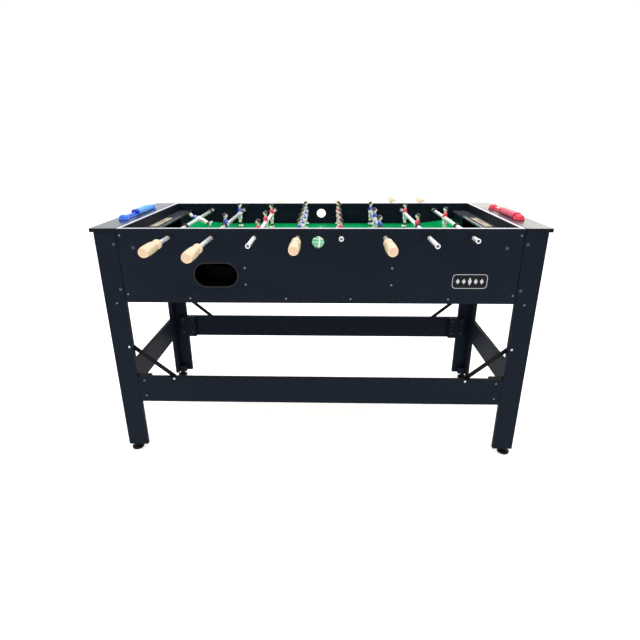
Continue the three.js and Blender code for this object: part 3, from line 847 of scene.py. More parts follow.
# %% Goals
MOUTH = (120 * MM, RIM_Z - 36 * MM)          # half width, height of the upper edge
GOAL_WALL, GOAL_LEDGE = 10 * MM, 6 * MM
for side, sign in SIDES.items():
    low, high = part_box(f"goal_box_{side}")
    wall_x = (low.x if sign > 0 else high.x) + sign * GOAL_WALL / 2
    reach, wall_top = high.y - MIDDLE_Y, high.z - GOAL_LEDGE
    outline = [(-reach, low.z), (-MOUTH[0], low.z), (-MOUTH[0], MOUTH[1]), MOUTH,
               (MOUTH[0], low.z), (reach, low.z), (reach, wall_top), (-reach, wall_top)]
    mesh = cut_shape(f"goal_wall_{side}", [outline], GOAL_WALL)
    mesh.transform(Matrix.Translation((wall_x, MIDDLE_Y, 0)) @ FACE_END)
    edge_bands(mesh, 0)
    goal = ("table", "goal_board", (f"goal_box_{side}",))
    add_piece(f"goal_wall_{side}", mesh, *goal, BOARDED)
    add_shape(f"goal_ledge_{side}", board_shape((low.x, low.y, wall_top), high), *goal,
              (ledge_print,))
print("goals:", list(SIDES))

# %% [markdown]
# ## Below the pitch
# The bottom board and its cross beams and the ball tray are right as the solid model has them, so
# they stay. The bottom board and the tray take their finishes.

# %% Kept solids
for node, finish in (("bottom_panel", raw_fibreboard), ("ball_return_tray", tray_plastic)):
    kept = frame["nodes"][node]
    kept.data.materials.clear()
    kept.data.materials.append(finish)

# %% [markdown]
# ## Trim round the openings
# The ball slot wears a moulded bezel with a rounded lip. Its section is swept round the slot's
# outline by hand: each point of the outline carries the same small profile, facing outwards.

# %% Ball slot bezel


def swept_ring(name, outline, profile, face_y, outwards):
    """A closed profile of (outwards, forwards) pairs in mm, carried round a closed outline."""
    points, faces = [], []
    count, layers = len(outline), len(profile)
    for index, (x, z) in enumerate(outline):
        before, after = outline[index - 1], outline[(index + 1) % count]
        tangent = Vector((after[0] - before[0], after[1] - before[1])).normalized()
        normal = Vector((tangent.y, -tangent.x))
        for out, forward in profile:
            points.append((x + normal.x * out * MM, face_y + outwards * forward * MM,
                           z + normal.y * out * MM))
    for index in range(count):
        for layer in range(layers):
            a, b = index * layers + layer, index * layers + (layer + 1) % layers
            c, d = (b + layers) % len(points), (a + layers) % len(points)
            faces.append((a, b, c, d))
    shape = bmesh.new()
    verts = [shape.verts.new(p) for p in points]
    for loop in faces:
        shape.faces.new([verts[i] for i in loop]).smooth = True
    mesh = closed(shape, name)
    mesh.set_sharp_from_angle(angle=math.radians(50))
    return mesh


bezel_profile = [(-0.8, -16), (-1.6, -14), (-1.6, 0.4), (-0.9, 1.6), (0.3, 2.1), (1.6, 1.8),
                 (2.9, 0.9), (3.2, 0.0), (0.1, -0.1), (0.1, -16)]
bezel = swept_ring("ball_slot_bezel", ball_slot, bezel_profile, FRONT_Y, -1)
add_piece("ball_slot_bezel", bezel, "table", finishes=(bezel_plastic,))

# %% Ball entry collars
collar_profile = [(18.6, -15), (18.6, 0.2), (19.2, 0.9), (20.2, 1.1), (21.2, 0.8), (21.6, 0.0),
                  (19.2, -0.1), (19.2, -15)]
for row, sign in ROWS.items():
    collar = turned(f"ball_entry_collar_{row}", collar_profile, 48, ring=True)
    collar.transform(pointed((0, sign, 0), (0, panel_face(sign), ENTRY_Z)))
    add_piece(f"ball_entry_collar_{row}", collar, "table", finishes=(black_plastic,))
print("bezel points:", len(bezel.vertices))

# %% [markdown]
# ## Legs and frame
# A leg is two boards joined in an L, with a block low in its corner for the foot's thread. The long
# stretchers run flush between the legs, and short cleats lap the joints on the inside.

# %% Legs
LEG_SIDE = 52 * MM
BLOCK = (46 * MM, 36 * MM, 30 * MM)
GLUE_GAP = 0.1 * MM
for side, sx in SIDES.items():
    for row, sy in ROWS.items():
        node = f"leg_{row}_{side}"
        low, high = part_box(node)
        outer = Vector((high.x if sx > 0 else low.x, high.y if sy > 0 else low.y, 0))
        inner_x = low.x if sx > 0 else high.x
        board(f"{node}_long_side", (outer.x, outer.y, low.z),
              (inner_x, outer.y - sy * BOARD, high.z), replaced=(node,))
        board(f"{node}_end_side", (outer.x, outer.y - sy * (BOARD + GLUE_GAP), low.z),
              (outer.x - sx * BOARD, outer.y - sy * LEG_SIDE, high.z), replaced=(node,))
        shape = board_shape((outer.x - sx * BOARD, outer.y - sy * BOARD, low.z + 2 * GLUE_GAP),
                            (outer.x - sx * BLOCK[0], outer.y - sy * BLOCK[1], low.z + BLOCK[2]))
        add_shape(f"{node}_block", shape, "table", "board_laminate", (node,), (black_laminate,))

# %% Stretchers and cleats
CLEAT_X = (578 * MM, 650 * MM)
FIT_GAP = 0.3 * MM
for row, sy in ROWS.items():
    node = f"long_stretcher_{row}"
    low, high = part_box(node)
    outer_y = panel_face(sy)
    inner_y = outer_y - sy * BOARD
    rail_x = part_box(f"leg_{row}_right")[0].x - FIT_GAP
    board(f"{node}_rail", (-rail_x, outer_y, low.z), (rail_x, inner_y, high.z), replaced=(node,))
    for side, sx in SIDES.items():
        board(f"{node}_cleat_{side}", (sx * CLEAT_X[0], inner_y - sy * FIT_GAP, low.z),
              (sx * CLEAT_X[1], inner_y - sy * BOARD, high.z), replaced=(node,))
print("stretchers at", round(low.z, 3), "to", round(high.z, 3))

# %% [markdown]
# Flat steel braces stiffen the corners. Each one is a strip with round ends and a hole at both
# ends, cut as a plate and then turned to its slope.

# %% Braces
BRACE_LEG = (631 * MM, 412 * MM)
BRACE_WIDTH, BRACE_THICK, BRACE_HOLE, BRACE_GAP = 15 * MM, 2.4 * MM, 2.2 * MM, 0.2 * MM
BRACE_RAIL = (492 * MM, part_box("long_stretcher_front")[1].z - BRACE_WIDTH / 2)
brace_run = Vector((BRACE_RAIL[0] - BRACE_LEG[0], BRACE_RAIL[1] - BRACE_LEG[1]))
for row, sy in ROWS.items():
    inner_y = panel_face(sy) - sy * (BOARD + BRACE_GAP + BRACE_THICK / 2)
    for side, sx in SIDES.items():
        length = brace_run.length
        outlines = [slot_outline(0, 0, length + BRACE_WIDTH, BRACE_WIDTH, 12)]
        outlines += [round_outline(x, 0, BRACE_HOLE, 16) for x in (-length / 2, length / 2)]
        mesh = cut_shape(f"brace_{row}_{side}_strip", outlines, BRACE_THICK, edge=0.3 * MM)
        slope = math.atan2(brace_run.y, sx * brace_run.x)
        middle = Vector((sx * (BRACE_LEG[0] + BRACE_RAIL[0]) / 2, inner_y,
                         (BRACE_LEG[1] + BRACE_RAIL[1]) / 2))
        mesh.transform(Matrix.Translation(middle) @ STAND_UP @ Matrix.Rotation(slope, 4, "Z"))
        add_piece(f"brace_{row}_{side}_strip", mesh, "table", "brace_steel",
                  (f"brace_{row}_{side}",), (powder_black,))
print("brace length", round(brace_run.length, 3))

# %% [markdown]
# ## Levelling feet
# A foot is a moulded pad on a threaded stem with a hexagonal collar to turn it by. The collar is
# turned round first and then pressed to six flats. The thread is a zigzag profile, which is enough
# at this size.

# %% Feet
STEM_FOOT, HALF_TURN = 21, 0.75          # where the stem starts, and half the thread's pitch, in mm
thread = [(4.0 if step % 2 else 3.4, STEM_FOOT + step * HALF_TURN) for step in range(27)]
foot_profile = [(0, 0), (18.5, 0), (20.0, 0.8), (20.5, 2.2), (20.5, 6.6), (19.6, 8.2), (16.5, 9.6),
                (11.5, 12.6), (10.2, 14.6), (9.6, 15.4), (9.4, 20.2),
                (8.8, STEM_FOOT), (4.0, STEM_FOOT)] + thread
foot_profile.append((0, foot_profile[-1][1] + 0.6))
COLLAR, COLLAR_Z, COLLAR_PRESS = (9 * MM, 10 * MM), 15 * MM, 0.9
for side in SIDES:
    for row in ROWS:
        node = f"foot_{row}_{side}"
        low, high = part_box(node)
        mesh = turned(f"{node}_pad", foot_profile, 36)
        for vert in mesh.vertices:
            reach = math.hypot(vert.co.x, vert.co.y)
            if COLLAR[0] < reach < COLLAR[1] and vert.co.z > COLLAR_Z:
                sector = (math.atan2(vert.co.y, vert.co.x) + math.pi) % (math.pi / 3) - math.pi / 6
                vert.co.xy *= COLLAR_PRESS / math.cos(sector)
        mesh.transform(Matrix.Translation(((low.x + high.x) / 2, (low.y + high.y) / 2, low.z)))
        add_piece(f"{node}_pad", mesh, node, "foot_black", (node,), (black_plastic,))
print("feet: 4")

# %% [markdown]
# ## The players
# A player is cast in one go, so the limbs melt into each other. That look comes from overlapping
# closed forms for boots, legs, shorts, chest, arms and head, fused by a voxel remesh and
# smoothed. The barrel at the waist takes the rod. The face is a plain toy face.

# %% One player in the round


def form(shape, levels, steps=20, mirror=1):
    """Adds a closed form to the mesh from (height, x, y, half depth, half width) levels in mm.
    A mirror of -1 puts it on the other side of the body."""
    rings = []
    for height, x, y, deep, wide in levels:
        turns = [2 * math.pi * step / steps for step in range(steps)]
        rings.append([shape.verts.new(((x + deep * math.cos(a)) * MM,
                                       (y * mirror + wide * math.sin(a)) * MM, height * MM))
                      for a in turns])
    shape.faces.new(list(reversed(rings[0])))
    shape.faces.new(rings[-1])
    for low, high in zip(rings, rings[1:]):
        for step in range(steps):
            after = (step + 1) % steps
            shape.faces.new([low[step], low[after], high[after], high[step]])


def ball(shape, x, y, z, deep, wide, high):
    """Adds an egg of the given half sizes in mm, with its poles a little flattened."""
    turns = [math.pi * (0.03 + 0.94 * level / 8) for level in range(9)]
    form(shape, [(z - high * math.cos(a), x, y, deep * math.sin(a), wide * math.sin(a))
                 for a in turns])


figure = bmesh.new()
for mirror in (-1, 1):
    form(figure, [(-51.0, 1.2, 5.3, 9.2, 4.6), (-50.0, 1.4, 5.3, 10.0, 5.2),
                  (-47.0, 1.2, 5.3, 9.8, 5.2), (-44.5, -0.4, 5.1, 7.6, 4.8),
                  (-42.5, -1.2, 5.0, 5.2, 4.3)], mirror=mirror)
    form(figure, [(-44.0, -1.2, 4.9, 4.6, 4.0), (-38.0, -0.8, 4.9, 4.4, 4.0),
                  (-32.0, -0.9, 4.9, 5.6, 4.6), (-27.0, -0.2, 4.9, 5.4, 4.6),
                  (-23.5, 0.4, 4.9, 5.2, 4.6), (-16.0, 0.2, 5.0, 6.2, 5.2)], mirror=mirror)
    form(figure, [(-22.0, 0.0, 5.3, 7.6, 6.0), (-21.4, 0.0, 5.3, 7.8, 6.2),
                  (-12.0, 0.0, 5.0, 7.6, 6.0), (-5.0, 0.0, 4.6, 7.2, 5.8)], mirror=mirror)
    form(figure, [(-9.0, 3.4, 11.2, 1.6, 1.3), (-7.0, 3.4, 11.3, 2.3, 1.9),
                  (-3.0, 2.6, 11.4, 2.0, 1.9), (5.0, 0.8, 11.2, 2.5, 2.2),
                  (8.2, 0.2, 10.9, 3.2, 2.7), (15.0, -0.3, 10.2, 3.6, 3.0),
                  (19.0, -0.3, 9.0, 3.2, 2.8), (20.6, -0.2, 8.0, 2.0, 1.8)], mirror=mirror)
    ball(figure, -0.2, 7.5 * mirror, 32.4, 1.7, 1.2, 2.3)
form(figure, [(-21.0, 0, 0, 5.6, 4.0), (-14.0, 0, 0, 6.6, 7.6), (-6.0, 0, 0, 7.4, 9.6),
              (2.0, 0, 0, 7.4, 9.6), (9.0, 0.3, 0, 8.0, 10.0), (15.0, 0.2, 0, 7.6, 10.2),
              (19.0, -0.2, 0, 6.2, 8.6), (21.5, -0.4, 0, 4.6, 5.6), (22.4, -0.4, 0, 3.8, 4.2)])
form(figure, [(20.0, -0.4, 0, 3.6, 3.6), (28.0, 0.0, 0, 3.6, 3.6)])
ball(figure, 0.4, 0, 32.0, 7.6, 7.0, 8.8)
ball(figure, -0.8, 0, 34.2, 8.0, 7.6, 7.6)
ball(figure, 7.8, 0, 31.2, 1.2, 1.1, 1.8)
barrel = bmesh.new()
form(barrel, [(-12.4, 0, 0, 8.6, 8.6), (-12.0, 0, 0, 9.0, 9.0),
              (12.0, 0, 0, 9.0, 9.0), (12.4, 0, 0, 8.6, 8.6)], 40)
bmesh.ops.rotate(barrel, verts=barrel.verts, cent=(0, 0, 0),
                 matrix=Matrix.Rotation(math.pi / 2, 3, "X"))
figure.from_mesh(closed(barrel, "barrel"))
mould = bpy.data.meshes.new("player_mould")
figure.to_mesh(mould)
figure.free()
carrier = bpy.data.objects.new("player_mould", mould)
bpy.context.scene.collection.objects.link(carrier)
VOXEL = 0.75 * MM
fuse = carrier.modifiers.new("fuse", "REMESH")
fuse.mode, fuse.voxel_size, fuse.use_smooth_shade = "VOXEL", VOXEL, True
ease = carrier.modifiers.new("ease", "SMOOTH")
ease.factor, ease.iterations = 0.5, 3
player_mesh = plain_mesh(carrier)
remember_place(player_mesh, 1 / MM)
print("player faces:", len(player_mesh.polygons))

# %% [markdown]
# ## Rods, handles and players
# The tube is open at its plain end, with a crimped ring on it. Tube, ring, handle and players turn
# together. Blue players face the right-hand goal and red players the left-hand one. The blue
# keeper is swung forward, as it was left.

# %% Rods and handles
handle_profile = [(0, 0), (9.6, 0), (11.6, 0.5), (13.2, 2.0), (14.1, 4.4), (14.3, 8), (14.0, 12.5),
                  (12.8, 16.5), (10.9, 19.6), (9.7, 22.4), (9.9, 25.2), (11.7, 29.5), (13.5, 35),
                  (14.8, 41), (15.5, 50), (15.8, 60), (16.0, 72), (15.9, 86), (15.6, 99),
                  (15.1, 108), (14.2, 113.6), (12.6, 117.4), (10.4, 119.3), (8.0, 119.8), (0, 120)]
GRAIN_END = 117.5 * MM          # past this height the handle shows end grain
KEEPER_SWING = math.radians(-66)
ROD_RADIUS, BORE_RADIUS, BORE_DEPTH = 6.35, 4.95, 40          # mm
end_ring_profile = [(5.2, 0), (6.8, 0), (7.2, 0.5), (7.2, 8.5), (6.8, 9), (5.2, 9), (4.9, 8.7),
                    (4.9, 0.3)]
for rod in RODS:
    number, middle, away = rod["number"], rod["middle"], rod["away"]
    body = f"rod_{number}"
    low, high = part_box(rod["node"])
    handle_low, handle_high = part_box(f"handle_{number}")
    tail_y = high.y if away > 0 else low.y
    collar_y = handle_high.y if away > 0 else handle_low.y
    reach = abs(tail_y - collar_y) / MM
    tube = turned(f"{rod['node']}_tube", [
        (0, -8), (ROD_RADIUS, -8), (ROD_RADIUS, reach - 0.5), (6.1, reach - 0.1),
        (5.2, reach - 0.1), (BORE_RADIUS, reach - 0.4), (BORE_RADIUS, reach - BORE_DEPTH),
        (0, reach - BORE_DEPTH)], 40)
    tube.transform(pointed((0, away, 0), (middle.x, collar_y, middle.z)))
    add_piece(f"{rod['node']}_tube", tube, body, "rod_chrome", (rod["node"],), (chrome,))
    end_ring = turned(f"end_ring_{number}", end_ring_profile, 40, ring=True)
    end_ring.transform(pointed((0, -away, 0), (middle.x, tail_y, middle.z)))
    add_piece(f"end_ring_{number}", end_ring, body, "rod_chrome", (rod["node"],), (chrome,))
    grip = turned(f"handle_{number}_grip", handle_profile, 48, own=True)
    end_face = [float(v.co.z > GRAIN_END) for v in grip.vertices]
    grip.attributes.new("end_grain", "FLOAT", "POINT").data.foreach_set("value", end_face)
    grip.transform(pointed((0, -away, 0), (middle.x, collar_y, middle.z)))
    add_piece(f"handle_{number}_grip", grip, body, "handle_wood", (f"handle_{number}",),
              (handle_wood,))
    swing = KEEPER_SWING if number == 1 else 0.0
    facing = Matrix.Rotation(0 if away > 0 else math.pi, 4, "Z") @ Matrix.Rotation(swing, 4, "Y")
    for man in range(rod["men"]):
        y = middle.y + (man - (rod["men"] - 1) / 2) * rod["spacing"]
        cast = player_mesh.copy()
        cast.transform(Matrix.Translation((middle.x, y, middle.z)) @ facing)
        add_piece(f"player_{number}_{man + 1}", cast, body, replaced=(rod["node"],),
                  finishes=(kits[rod["team"]],))
print("players:", sum(rod["men"] for rod in RODS))

# %% [markdown]
# ## Fittings by Geometry Nodes
# Screws, bolts, bushings and bumpers repeat, so each is modelled once and set out on points. Every
# point knows which way its fitting faces and how far it is twisted, because no fitter leaves
# all the slots in line. The tree has inputs for the places, the fitting, its size and its finish.

# %% The fitting tree


def fitting_tree():
    tree = bpy.data.node_groups.new("set_out_fittings", "GeometryNodeTree")
    for label, kind in (("Places", "Geometry"), ("Fitting", "Object"), ("Size", "Float"),
                        ("Finish", "Material")):
        tree.interface.new_socket(label, in_out="INPUT", socket_type=f"NodeSocket{kind}")
    tree.interface.new_socket("Fittings", in_out="OUTPUT", socket_type="NodeSocketGeometry")
    made = {label: tree.nodes.new(kind) for label, kind in (
        ("entry", "NodeGroupInput"), ("exit", "NodeGroupOutput"),
        ("object", "GeometryNodeObjectInfo"), ("facing", "GeometryNodeInputNamedAttribute"),
        ("twist", "GeometryNodeInputNamedAttribute"),
        ("align", "FunctionNodeAlignRotationToVector"),
        ("spin", "FunctionNodeAxisAngleToRotation"), ("turn", "FunctionNodeRotateRotation"),
        ("instance", "GeometryNodeInstanceOnPoints"), ("realize", "GeometryNodeRealizeInstances"),
        ("finish", "GeometryNodeSetMaterial"))}
    made["facing"].data_type, made["twist"].data_type = "FLOAT_VECTOR", "FLOAT"
    made["facing"].inputs["Name"].default_value = "facing"
    made["twist"].inputs["Name"].default_value = "twist"
    made["align"].axis, made["turn"].rotation_space = "Z", "LOCAL"
    made["spin"].inputs["Axis"].default_value = (0, 0, 1)
    for start, output, end, entry in (
            ("entry", "Places", "instance", "Points"), ("entry", "Fitting", "object", "Object"),
            ("object", "Geometry", "instance", "Instance"),
            ("facing", "Attribute", "align", "Vector"), ("twist", "Attribute", "spin", "Angle"),
            ("align", "Rotation", "turn", "Rotation"), ("spin", "Rotation", "turn", "Rotate By"),
            ("turn", "Rotation", "instance", "Rotation"), ("entry", "Size", "instance", "Scale"),
            ("instance", "Instances", "realize", "Geometry"),
            ("realize", "Geometry", "finish", "Geometry"),
            ("entry", "Finish", "finish", "Material"), ("finish", "Geometry", "exit", "Fittings")):
        tree.links.new(made[start].outputs[output], made[end].inputs[entry])
    return tree


TWIST_SEED = 7
fittings = fitting_tree()
twists = np.random.default_rng(TWIST_SEED)


def set_out(name, pattern, places, finish, body="table", slot=None, size=1.0, twist=True):
    """Sets a pattern mesh out on (place, facing) pairs, as one plain piece."""
    model = bpy.data.objects.new(f"{name}_pattern", pattern)
    points = bpy.data.meshes.new(name)
    points.from_pydata([place for place, facing in places], [], [])
    facing = points.attributes.new("facing", "FLOAT_VECTOR", "POINT")
    facing.data.foreach_set("vector", [c for place, axis in places for c in axis])
    angles = twists.uniform(0, math.pi, len(places)) * twist
    points.attributes.new("twist", "FLOAT", "POINT").data.foreach_set("value", angles)
    carrier = bpy.data.objects.new(name, points)
    for thing in (model, carrier):
        bpy.context.scene.collection.objects.link(thing)
    modifier = carrier.modifiers.new("fittings", "NODES")
    modifier.node_group = fittings
    values = {"Fitting": model, "Size": size, "Finish": finish}
    for socket in fittings.interface.items_tree:
        if socket.in_out == "INPUT" and socket.name in values:
            modifier[socket.identifier] = values[socket.name]
    mesh = plain_mesh(carrier)
    bpy.data.objects.remove(model)
    mesh.name = name
    return add_piece(name, mesh, body, slot)


print("fitting tree nodes:", len(fittings.nodes))

# %% [markdown]
# A cross-slot screw head is a low dome with a plus-shaped well. The well's outline is found from
# the arms of the plus, ring by ring, so the head stays one closed skin.

# %% Screw and bolt patterns


def cross_reach(angle, reach, arm):
    """How far a plus of the given arm width reaches at an angle."""
    spans = [min(reach, arm / max(1e-6, abs(s))) for s in (math.sin(angle), math.cos(angle))]
    return max(spans)


def hex_reach(angle, flat):
    return flat / math.cos((angle + math.pi / 6) % (math.pi / 3) - math.pi / 6)


def headed(name, profile, well, depth):
    """A fastener head: a turned profile in mm with a well in its top. The well gives a radius."""
    steps = 36
    turns = [2 * math.pi * s / steps for s in range(steps)]
    rings = [[(r * math.cos(a), r * math.sin(a), h) for a in turns] for r, h in profile]
    top = profile[-1][1]
    for shrink, height in ((1.0, top), (0.86, top - depth)):
        rings.append([(well(a) * shrink * math.cos(a), well(a) * shrink * math.sin(a), height)
                      for a in turns])
    points = [p for ring in rings for p in ring]
    faces = [tuple(reversed(range(steps)))]
    for level in range(len(rings) - 1):
        for s in range(steps):
            a, b = level * steps + s, level * steps + (s + 1) % steps
            faces.append((a, b, b + steps, a + steps))
    faces.append(tuple(range((len(rings) - 1) * steps, len(rings) * steps)))
    mesh = bpy.data.meshes.new(name)
    mesh.from_pydata(points, [], faces)
    mesh.transform(Matrix.Scale(MM, 4))
    mesh.shade_smooth()
    mesh.set_sharp_from_angle(angle=math.radians(35))
    return mesh


wood_screw = headed("wood_screw", [(3.6, -1.0), (3.6, 0.1), (3.3, 0.7), (2.6, 1.15), (1.9, 1.3)],
                    lambda a: cross_reach(a, 1.75, 0.42), 0.9)
cap_bolt = headed("cap_bolt", [(7.0, -1.0), (7.0, 0.5), (6.4, 1.0), (5.0, 1.1), (4.7, 2.3),
                               (4.2, 2.9), (3.1, 3.1)], lambda a: hex_reach(a, 2.1), 1.5)
cup_bolt = headed("cup_bolt", [(9.0, -1.0), (9.0, 0.6), (8.3, 1.5), (6.8, 1.9), (5.4, 1.3),
                               (5.0, 1.2), (4.8, 2.2), (4.2, 2.8), (3.2, 3.0)],
                  lambda a: hex_reach(a, 2.1), 1.5)
print("patterns:", wood_screw.name, cap_bolt.name, cup_bolt.name)

# %% [markdown]
# The pattern of screws tells how the box is built: a row into the bottom board, pairs into the
# cross beams, small ones into the end walls and bolts through the legs. Each pair below gives the
# distance from the middle of the table and the drop from the rim, in mm.

# %% Screws and bolts
SCREWS = [(607, 21), (607, 209), (648, 240), (408, 222), (102, 222), (597, 520), (597, 578)]
BEAM_BOLTS = [(228, 122), (228, 176)]
LEG_BOLTS = [(629, 48), (629, 193)]
CUP_BOLTS = [(569, 59)]
BRACE_SCREWS = [(493, 512), (631, 394)]
END_BOLTS = [(279, 60), (279, 190), (279, 530), (279, 575)]
CLEAT_SCREWS = [(592, 520), (592, 578), (634, 520), (634, 578)]


def both_faces(spots):
    """The same pattern on the near and far faces, left and right."""
    places = []
    for x, drop in spots:
        for sx in SIDES.values():
            for sy in ROWS.values():
                places.append(((sx * x * MM, panel_face(sy), RIM_Z - drop * MM), (0, sy, 0)))
    return places


def end_faces(spots):
    """Fittings on the outer faces of the legs' end boards."""
    places = []
    for y, drop in spots:
        for side, sx in SIDES.items():
            for sy in ROWS.values():
                low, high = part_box(f"leg_front_{side}")
                x = high.x if sx > 0 else low.x
                places.append(((x, MIDDLE_Y + sy * y * MM, RIM_Z - drop * MM), (sx, 0, 0)))
    return places


def inner_cleats(spots):
    """The same places as on both faces, moved to the inner faces of the cleats."""
    places = []
    for (x, y, z), (_, sy, _) in both_faces(spots):
        places.append(((x, y - sy * 2 * BOARD, z), (0, -sy, 0)))
    return places


set_out("wood_screws", wood_screw, both_faces(SCREWS), zinc, size=0.95)
set_out("cleat_screws", wood_screw, inner_cleats(CLEAT_SCREWS), bolt_zinc)
set_out("beam_bolts", wood_screw, both_faces(BEAM_BOLTS), zinc)
set_out("leg_bolts", cap_bolt, both_faces(LEG_BOLTS) + end_faces(END_BOLTS), bolt_zinc, size=0.72)
set_out("cup_bolts", cup_bolt, both_faces(CUP_BOLTS), bolt_zinc, size=0.6)
set_out("brace_screws", wood_screw, both_faces(BRACE_SCREWS), bright_zinc, size=1.15)
print("screws set out")

# %% [markdown]
# A bushing is a black flanged sleeve, half from each face of the panel, in which a rod slides and
# turns. Rubber bumpers on both sides of the players stop the rod against it.

# %% Bushings and bumpers
bushing_profile = [(7.4, -9), (7.4, 2.4), (8.2, 3.0), (10.0, 3.0), (11.4, 2.4), (13.6, 1.8),
                   (14.7, 1.2), (15.0, 0.4), (15.0, 0.0), (10.9, -0.1), (10.9, -9)]
bushing = turned("bushing", bushing_profile, 36, ring=True)
bushing_places = []
for rod in RODS:
    for sy in ROWS.values():
        for facing, depth in ((sy, 0), (-sy, BOARD)):
            place = (rod["middle"].x, panel_face(sy) - sy * depth, rod["middle"].z)
            bushing_places.append((place, (0, facing, 0)))
set_out("rod_bushings", bushing, bushing_places, black_plastic)

bumper_profile = [(6.5, 0), (9.2, 0), (10.1, 0.6), (10.5, 1.8), (10.5, 4.6), (9.8, 5.4), (9.8, 6.0),
                  (10.5, 6.8), (10.5, 12.2), (10.1, 13.4), (9.2, 14), (6.5, 14)]
BUMPER_HALF = 7 * MM
bumper = turned("bumper", bumper_profile, 36, ring=True)
for rod in RODS:
    number, middle = rod["number"], rod["middle"]
    low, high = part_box(f"bumper_{number}")
    reach = abs((low.y + high.y) / 2 - middle.y) - BUMPER_HALF
    places = [((middle.x, middle.y + sign * reach, middle.z), (0, sign, 0)) for sign in (-1, 1)]
    piece = set_out(f"bumpers_{number}", bumper, places, black_rubber, body=f"slide_{number}",
                    slot="bumper_rubber", twist=False)
    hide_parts(f"bumper_{number}")
print("bushings:", len(bushing_places), "bumpers:", 2 * len(RODS))

# %% [markdown]
# ## The scorers
# Each end top carries a bead scorer: a rail between two domed feet, with a stack of beads that
# slides along it as one block here. A groove parts each bead from the next.

# %% Scorers
RAIL_FOOT = (18 * MM, 4 * MM)          # width, height
RAIL = (12 * MM, 7 * MM)
DOME_RADIUS = 18 * MM
dome_profile = [(0, 0), (17.4, 0), (18.0, 0.7), (18.0, 3.4), (17.4, 4.6), (16.6, 5.2), (16.4, 7.0),
                (15.4, 10.2), (13.2, 13.2), (10.0, 15.4), (6.0, 16.6), (2.8, 17.0), (0, 17.0)]
TEAM = {"left": "blue", "right": "red"}
for side in SIDES:
    low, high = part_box(f"scorer_{side}")
    x, z = (low.x + high.x) / 2, low.z
    first, last = low.y + DOME_RADIUS, high.y - DOME_RADIUS
    rail_z = z + RAIL_FOOT[1]
    base = ("table", f"scorer_{TEAM[side]}", (f"scorer_{side}",), (dome_tones[side],))
    corners = corner_outline((x - RAIL_FOOT[0] / 2, first), (x + RAIL_FOOT[0] / 2, last), 2 * MM)
    plate = cut_shape(f"scorer_foot_{side}", [corners], RAIL_FOOT[1], edge=0.8 * MM)
    plate.transform(Matrix.Translation((0, 0, z + RAIL_FOOT[1] / 2)))
    add_piece(f"scorer_foot_{side}", plate, *base)
    shape = board_shape((x - RAIL[0] / 2, first, rail_z - MM),
                        (x + RAIL[0] / 2, last, rail_z + RAIL[1]), edge=1.6 * MM, segments=3)
    add_shape(f"scorer_rail_{side}", shape, *base)
    for end, y in (("near", first), ("far", last)):
        dome = turned(f"scorer_dome_{side}_{end}", dome_profile, 48)
        dome.transform(Matrix.Translation((x, y, z)))
        add_piece(f"scorer_dome_{side}_{end}", dome, *base)

# %% [markdown]
# A bead is a saddle over the rail. Its outline is drawn across the rail and pushed along it. The
# first bead of the stack points at the score and has the team's deep colour.

# %% Scorer beads
BEADS = 10
RAIL_PLAY, BEAD_GAP = 0.5 * MM, 0.1 * MM
for side, sign in SIDES.items():
    low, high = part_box(f"scorer_counter_{side}")
    x, half = (low.x + high.x) / 2, (high.x - low.x) / 2
    channel = RAIL[0] / 2 + RAIL_PLAY
    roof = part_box(f"scorer_{side}")[0].z + RAIL_FOOT[1] + RAIL[1] + RAIL_PLAY
    shoulder = [(half, low.z), (half, low.z + 8 * MM), (half - 1.4 * MM, high.z - 3.4 * MM),
                (half - 4 * MM, high.z - 0.8 * MM), (half - 7 * MM, high.z)]
    outline = [(-half, low.z), (-channel, low.z), (-channel, roof), (channel, roof),
               (channel, low.z)] + shoulder + [(-a, b) for a, b in reversed(shoulder[1:])]
    step = (high.y - low.y) / BEADS
    for bead in range(BEADS):
        name = f"scorer_bead_{side}_{bead + 1}"
        saddle = cut_shape(name, [outline], step - BEAD_GAP, edge=0.9 * MM)
        saddle.transform(Matrix.Translation((x, low.y + step * (bead + 0.5), 0)) @ STAND_UP)
        # The other beads take the paler bead tone, part of which is painted reflection.
        tones = marker_tones if bead == (0 if sign < 0 else BEADS - 1) else bead_tones_and_sheen
        add_piece(name, saddle, f"counter_{side}", f"counter_{TEAM[side]}",
                  (f"scorer_counter_{side}",), (tones[side],))
print("scorers: 2, beads:", 2 * BEADS)

# %% [markdown]
# ## The badge
# The near panel carries a small printed plate, made here as a plain framed plate with a row of
# diamonds. Frame and diamonds stand proud of the plate as one thin motif.

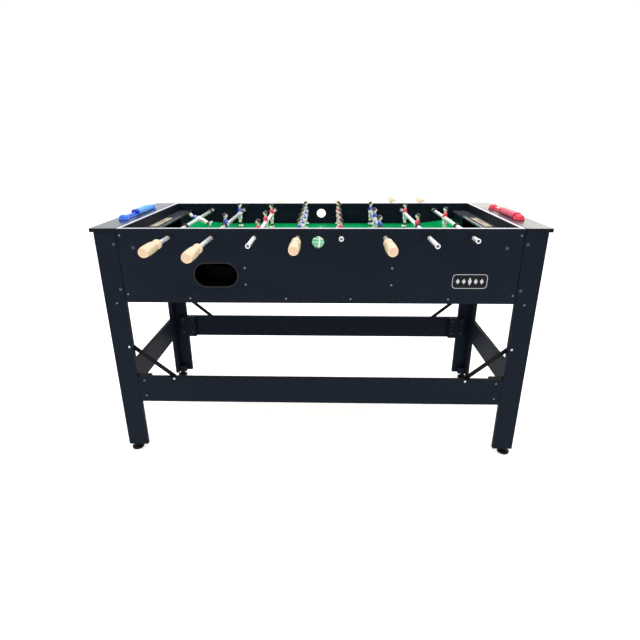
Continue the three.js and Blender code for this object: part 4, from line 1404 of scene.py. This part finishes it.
# %% Badge
BADGE = ((414 * MM, RIM_Z - 187 * MM), (524 * MM, RIM_Z - 139 * MM))
PROUD, MOTIF_THICK, MOTIF_LIFT = 0.7 * MM, 0.5 * MM, 0.2 * MM
FRAME_INSET, FRAME_LINE = 1.2 * MM, 1.6 * MM
plate = cut_shape("badge_plate", [corner_outline(*BADGE, 12 * MM)], PROUD, edge=0.15 * MM)
plate.transform(Matrix.Translation((0, FRONT_Y - PROUD / 2, 0)) @ STAND_UP)
add_piece("badge_plate", plate, "table", finishes=(black_plastic,))
(bx0, bz0), (bx1, bz1) = BADGE
frame_outlines = []
for inset, corner in ((FRAME_INSET, 11 * MM), (FRAME_INSET + FRAME_LINE, 9.5 * MM)):
    frame_outlines.append(corner_outline((bx0 + inset, bz0 + inset), (bx1 - inset, bz1 - inset),
                                         corner))
badge_middle = (bz0 + bz1) / 2
for step in range(5):
    cx = bx0 + (bx1 - bx0) * (step + 1) / 6
    wide, tall = 6 * MM, (13 if step == 2 else 9) * MM
    frame_outlines.append([(cx - wide, badge_middle), (cx, badge_middle - tall),
                           (cx + wide, badge_middle), (cx, badge_middle + tall)])
motif = cut_shape("badge_motif", frame_outlines, MOTIF_THICK, edge=0.1 * MM)
motif.transform(Matrix.Translation((0, FRONT_Y - PROUD - MOTIF_LIFT, 0)) @ STAND_UP)
add_piece("badge_motif", motif, "table", finishes=(silver_print,))
print("badge width", round(bx1 - bx0, 3))

# %% [markdown]
# ## The floor
# A pale floor, far wider than the table, so that its edge is never seen. It glows a little, so the
# table's soft shade on it stays light.

# %% Floor
FLOOR_REACH = 30.0
floor_corners = [(sx * FLOOR_REACH, sy * FLOOR_REACH, 0)
                 for sx, sy in ((-1, -1), (1, -1), (1, 1), (-1, 1))]
floor_mesh = bpy.data.meshes.new("studio_floor")
floor_mesh.from_pydata(floor_corners, [], [(0, 1, 2, 3)])
pale = Finish("studio_floor", {"Specular IOR Level": 0.1, "Emission Color": (1, 1, 1, 1),
                               "Emission Strength": 0.5})
pale_cloud = pale.noise(pale.place(), 3.0, 2.0)
pale.color(pale.blend(pale_cloud, (0.90, 0.90, 0.90), (0.92, 0.92, 0.92)))
pale.rough(pale_cloud * 0.1 + 0.8)
floor_mesh.materials.append(pale.material)
studio_floor = bpy.data.objects.new("studio_floor", floor_mesh)
bpy.context.scene.collection.objects.link(studio_floor)
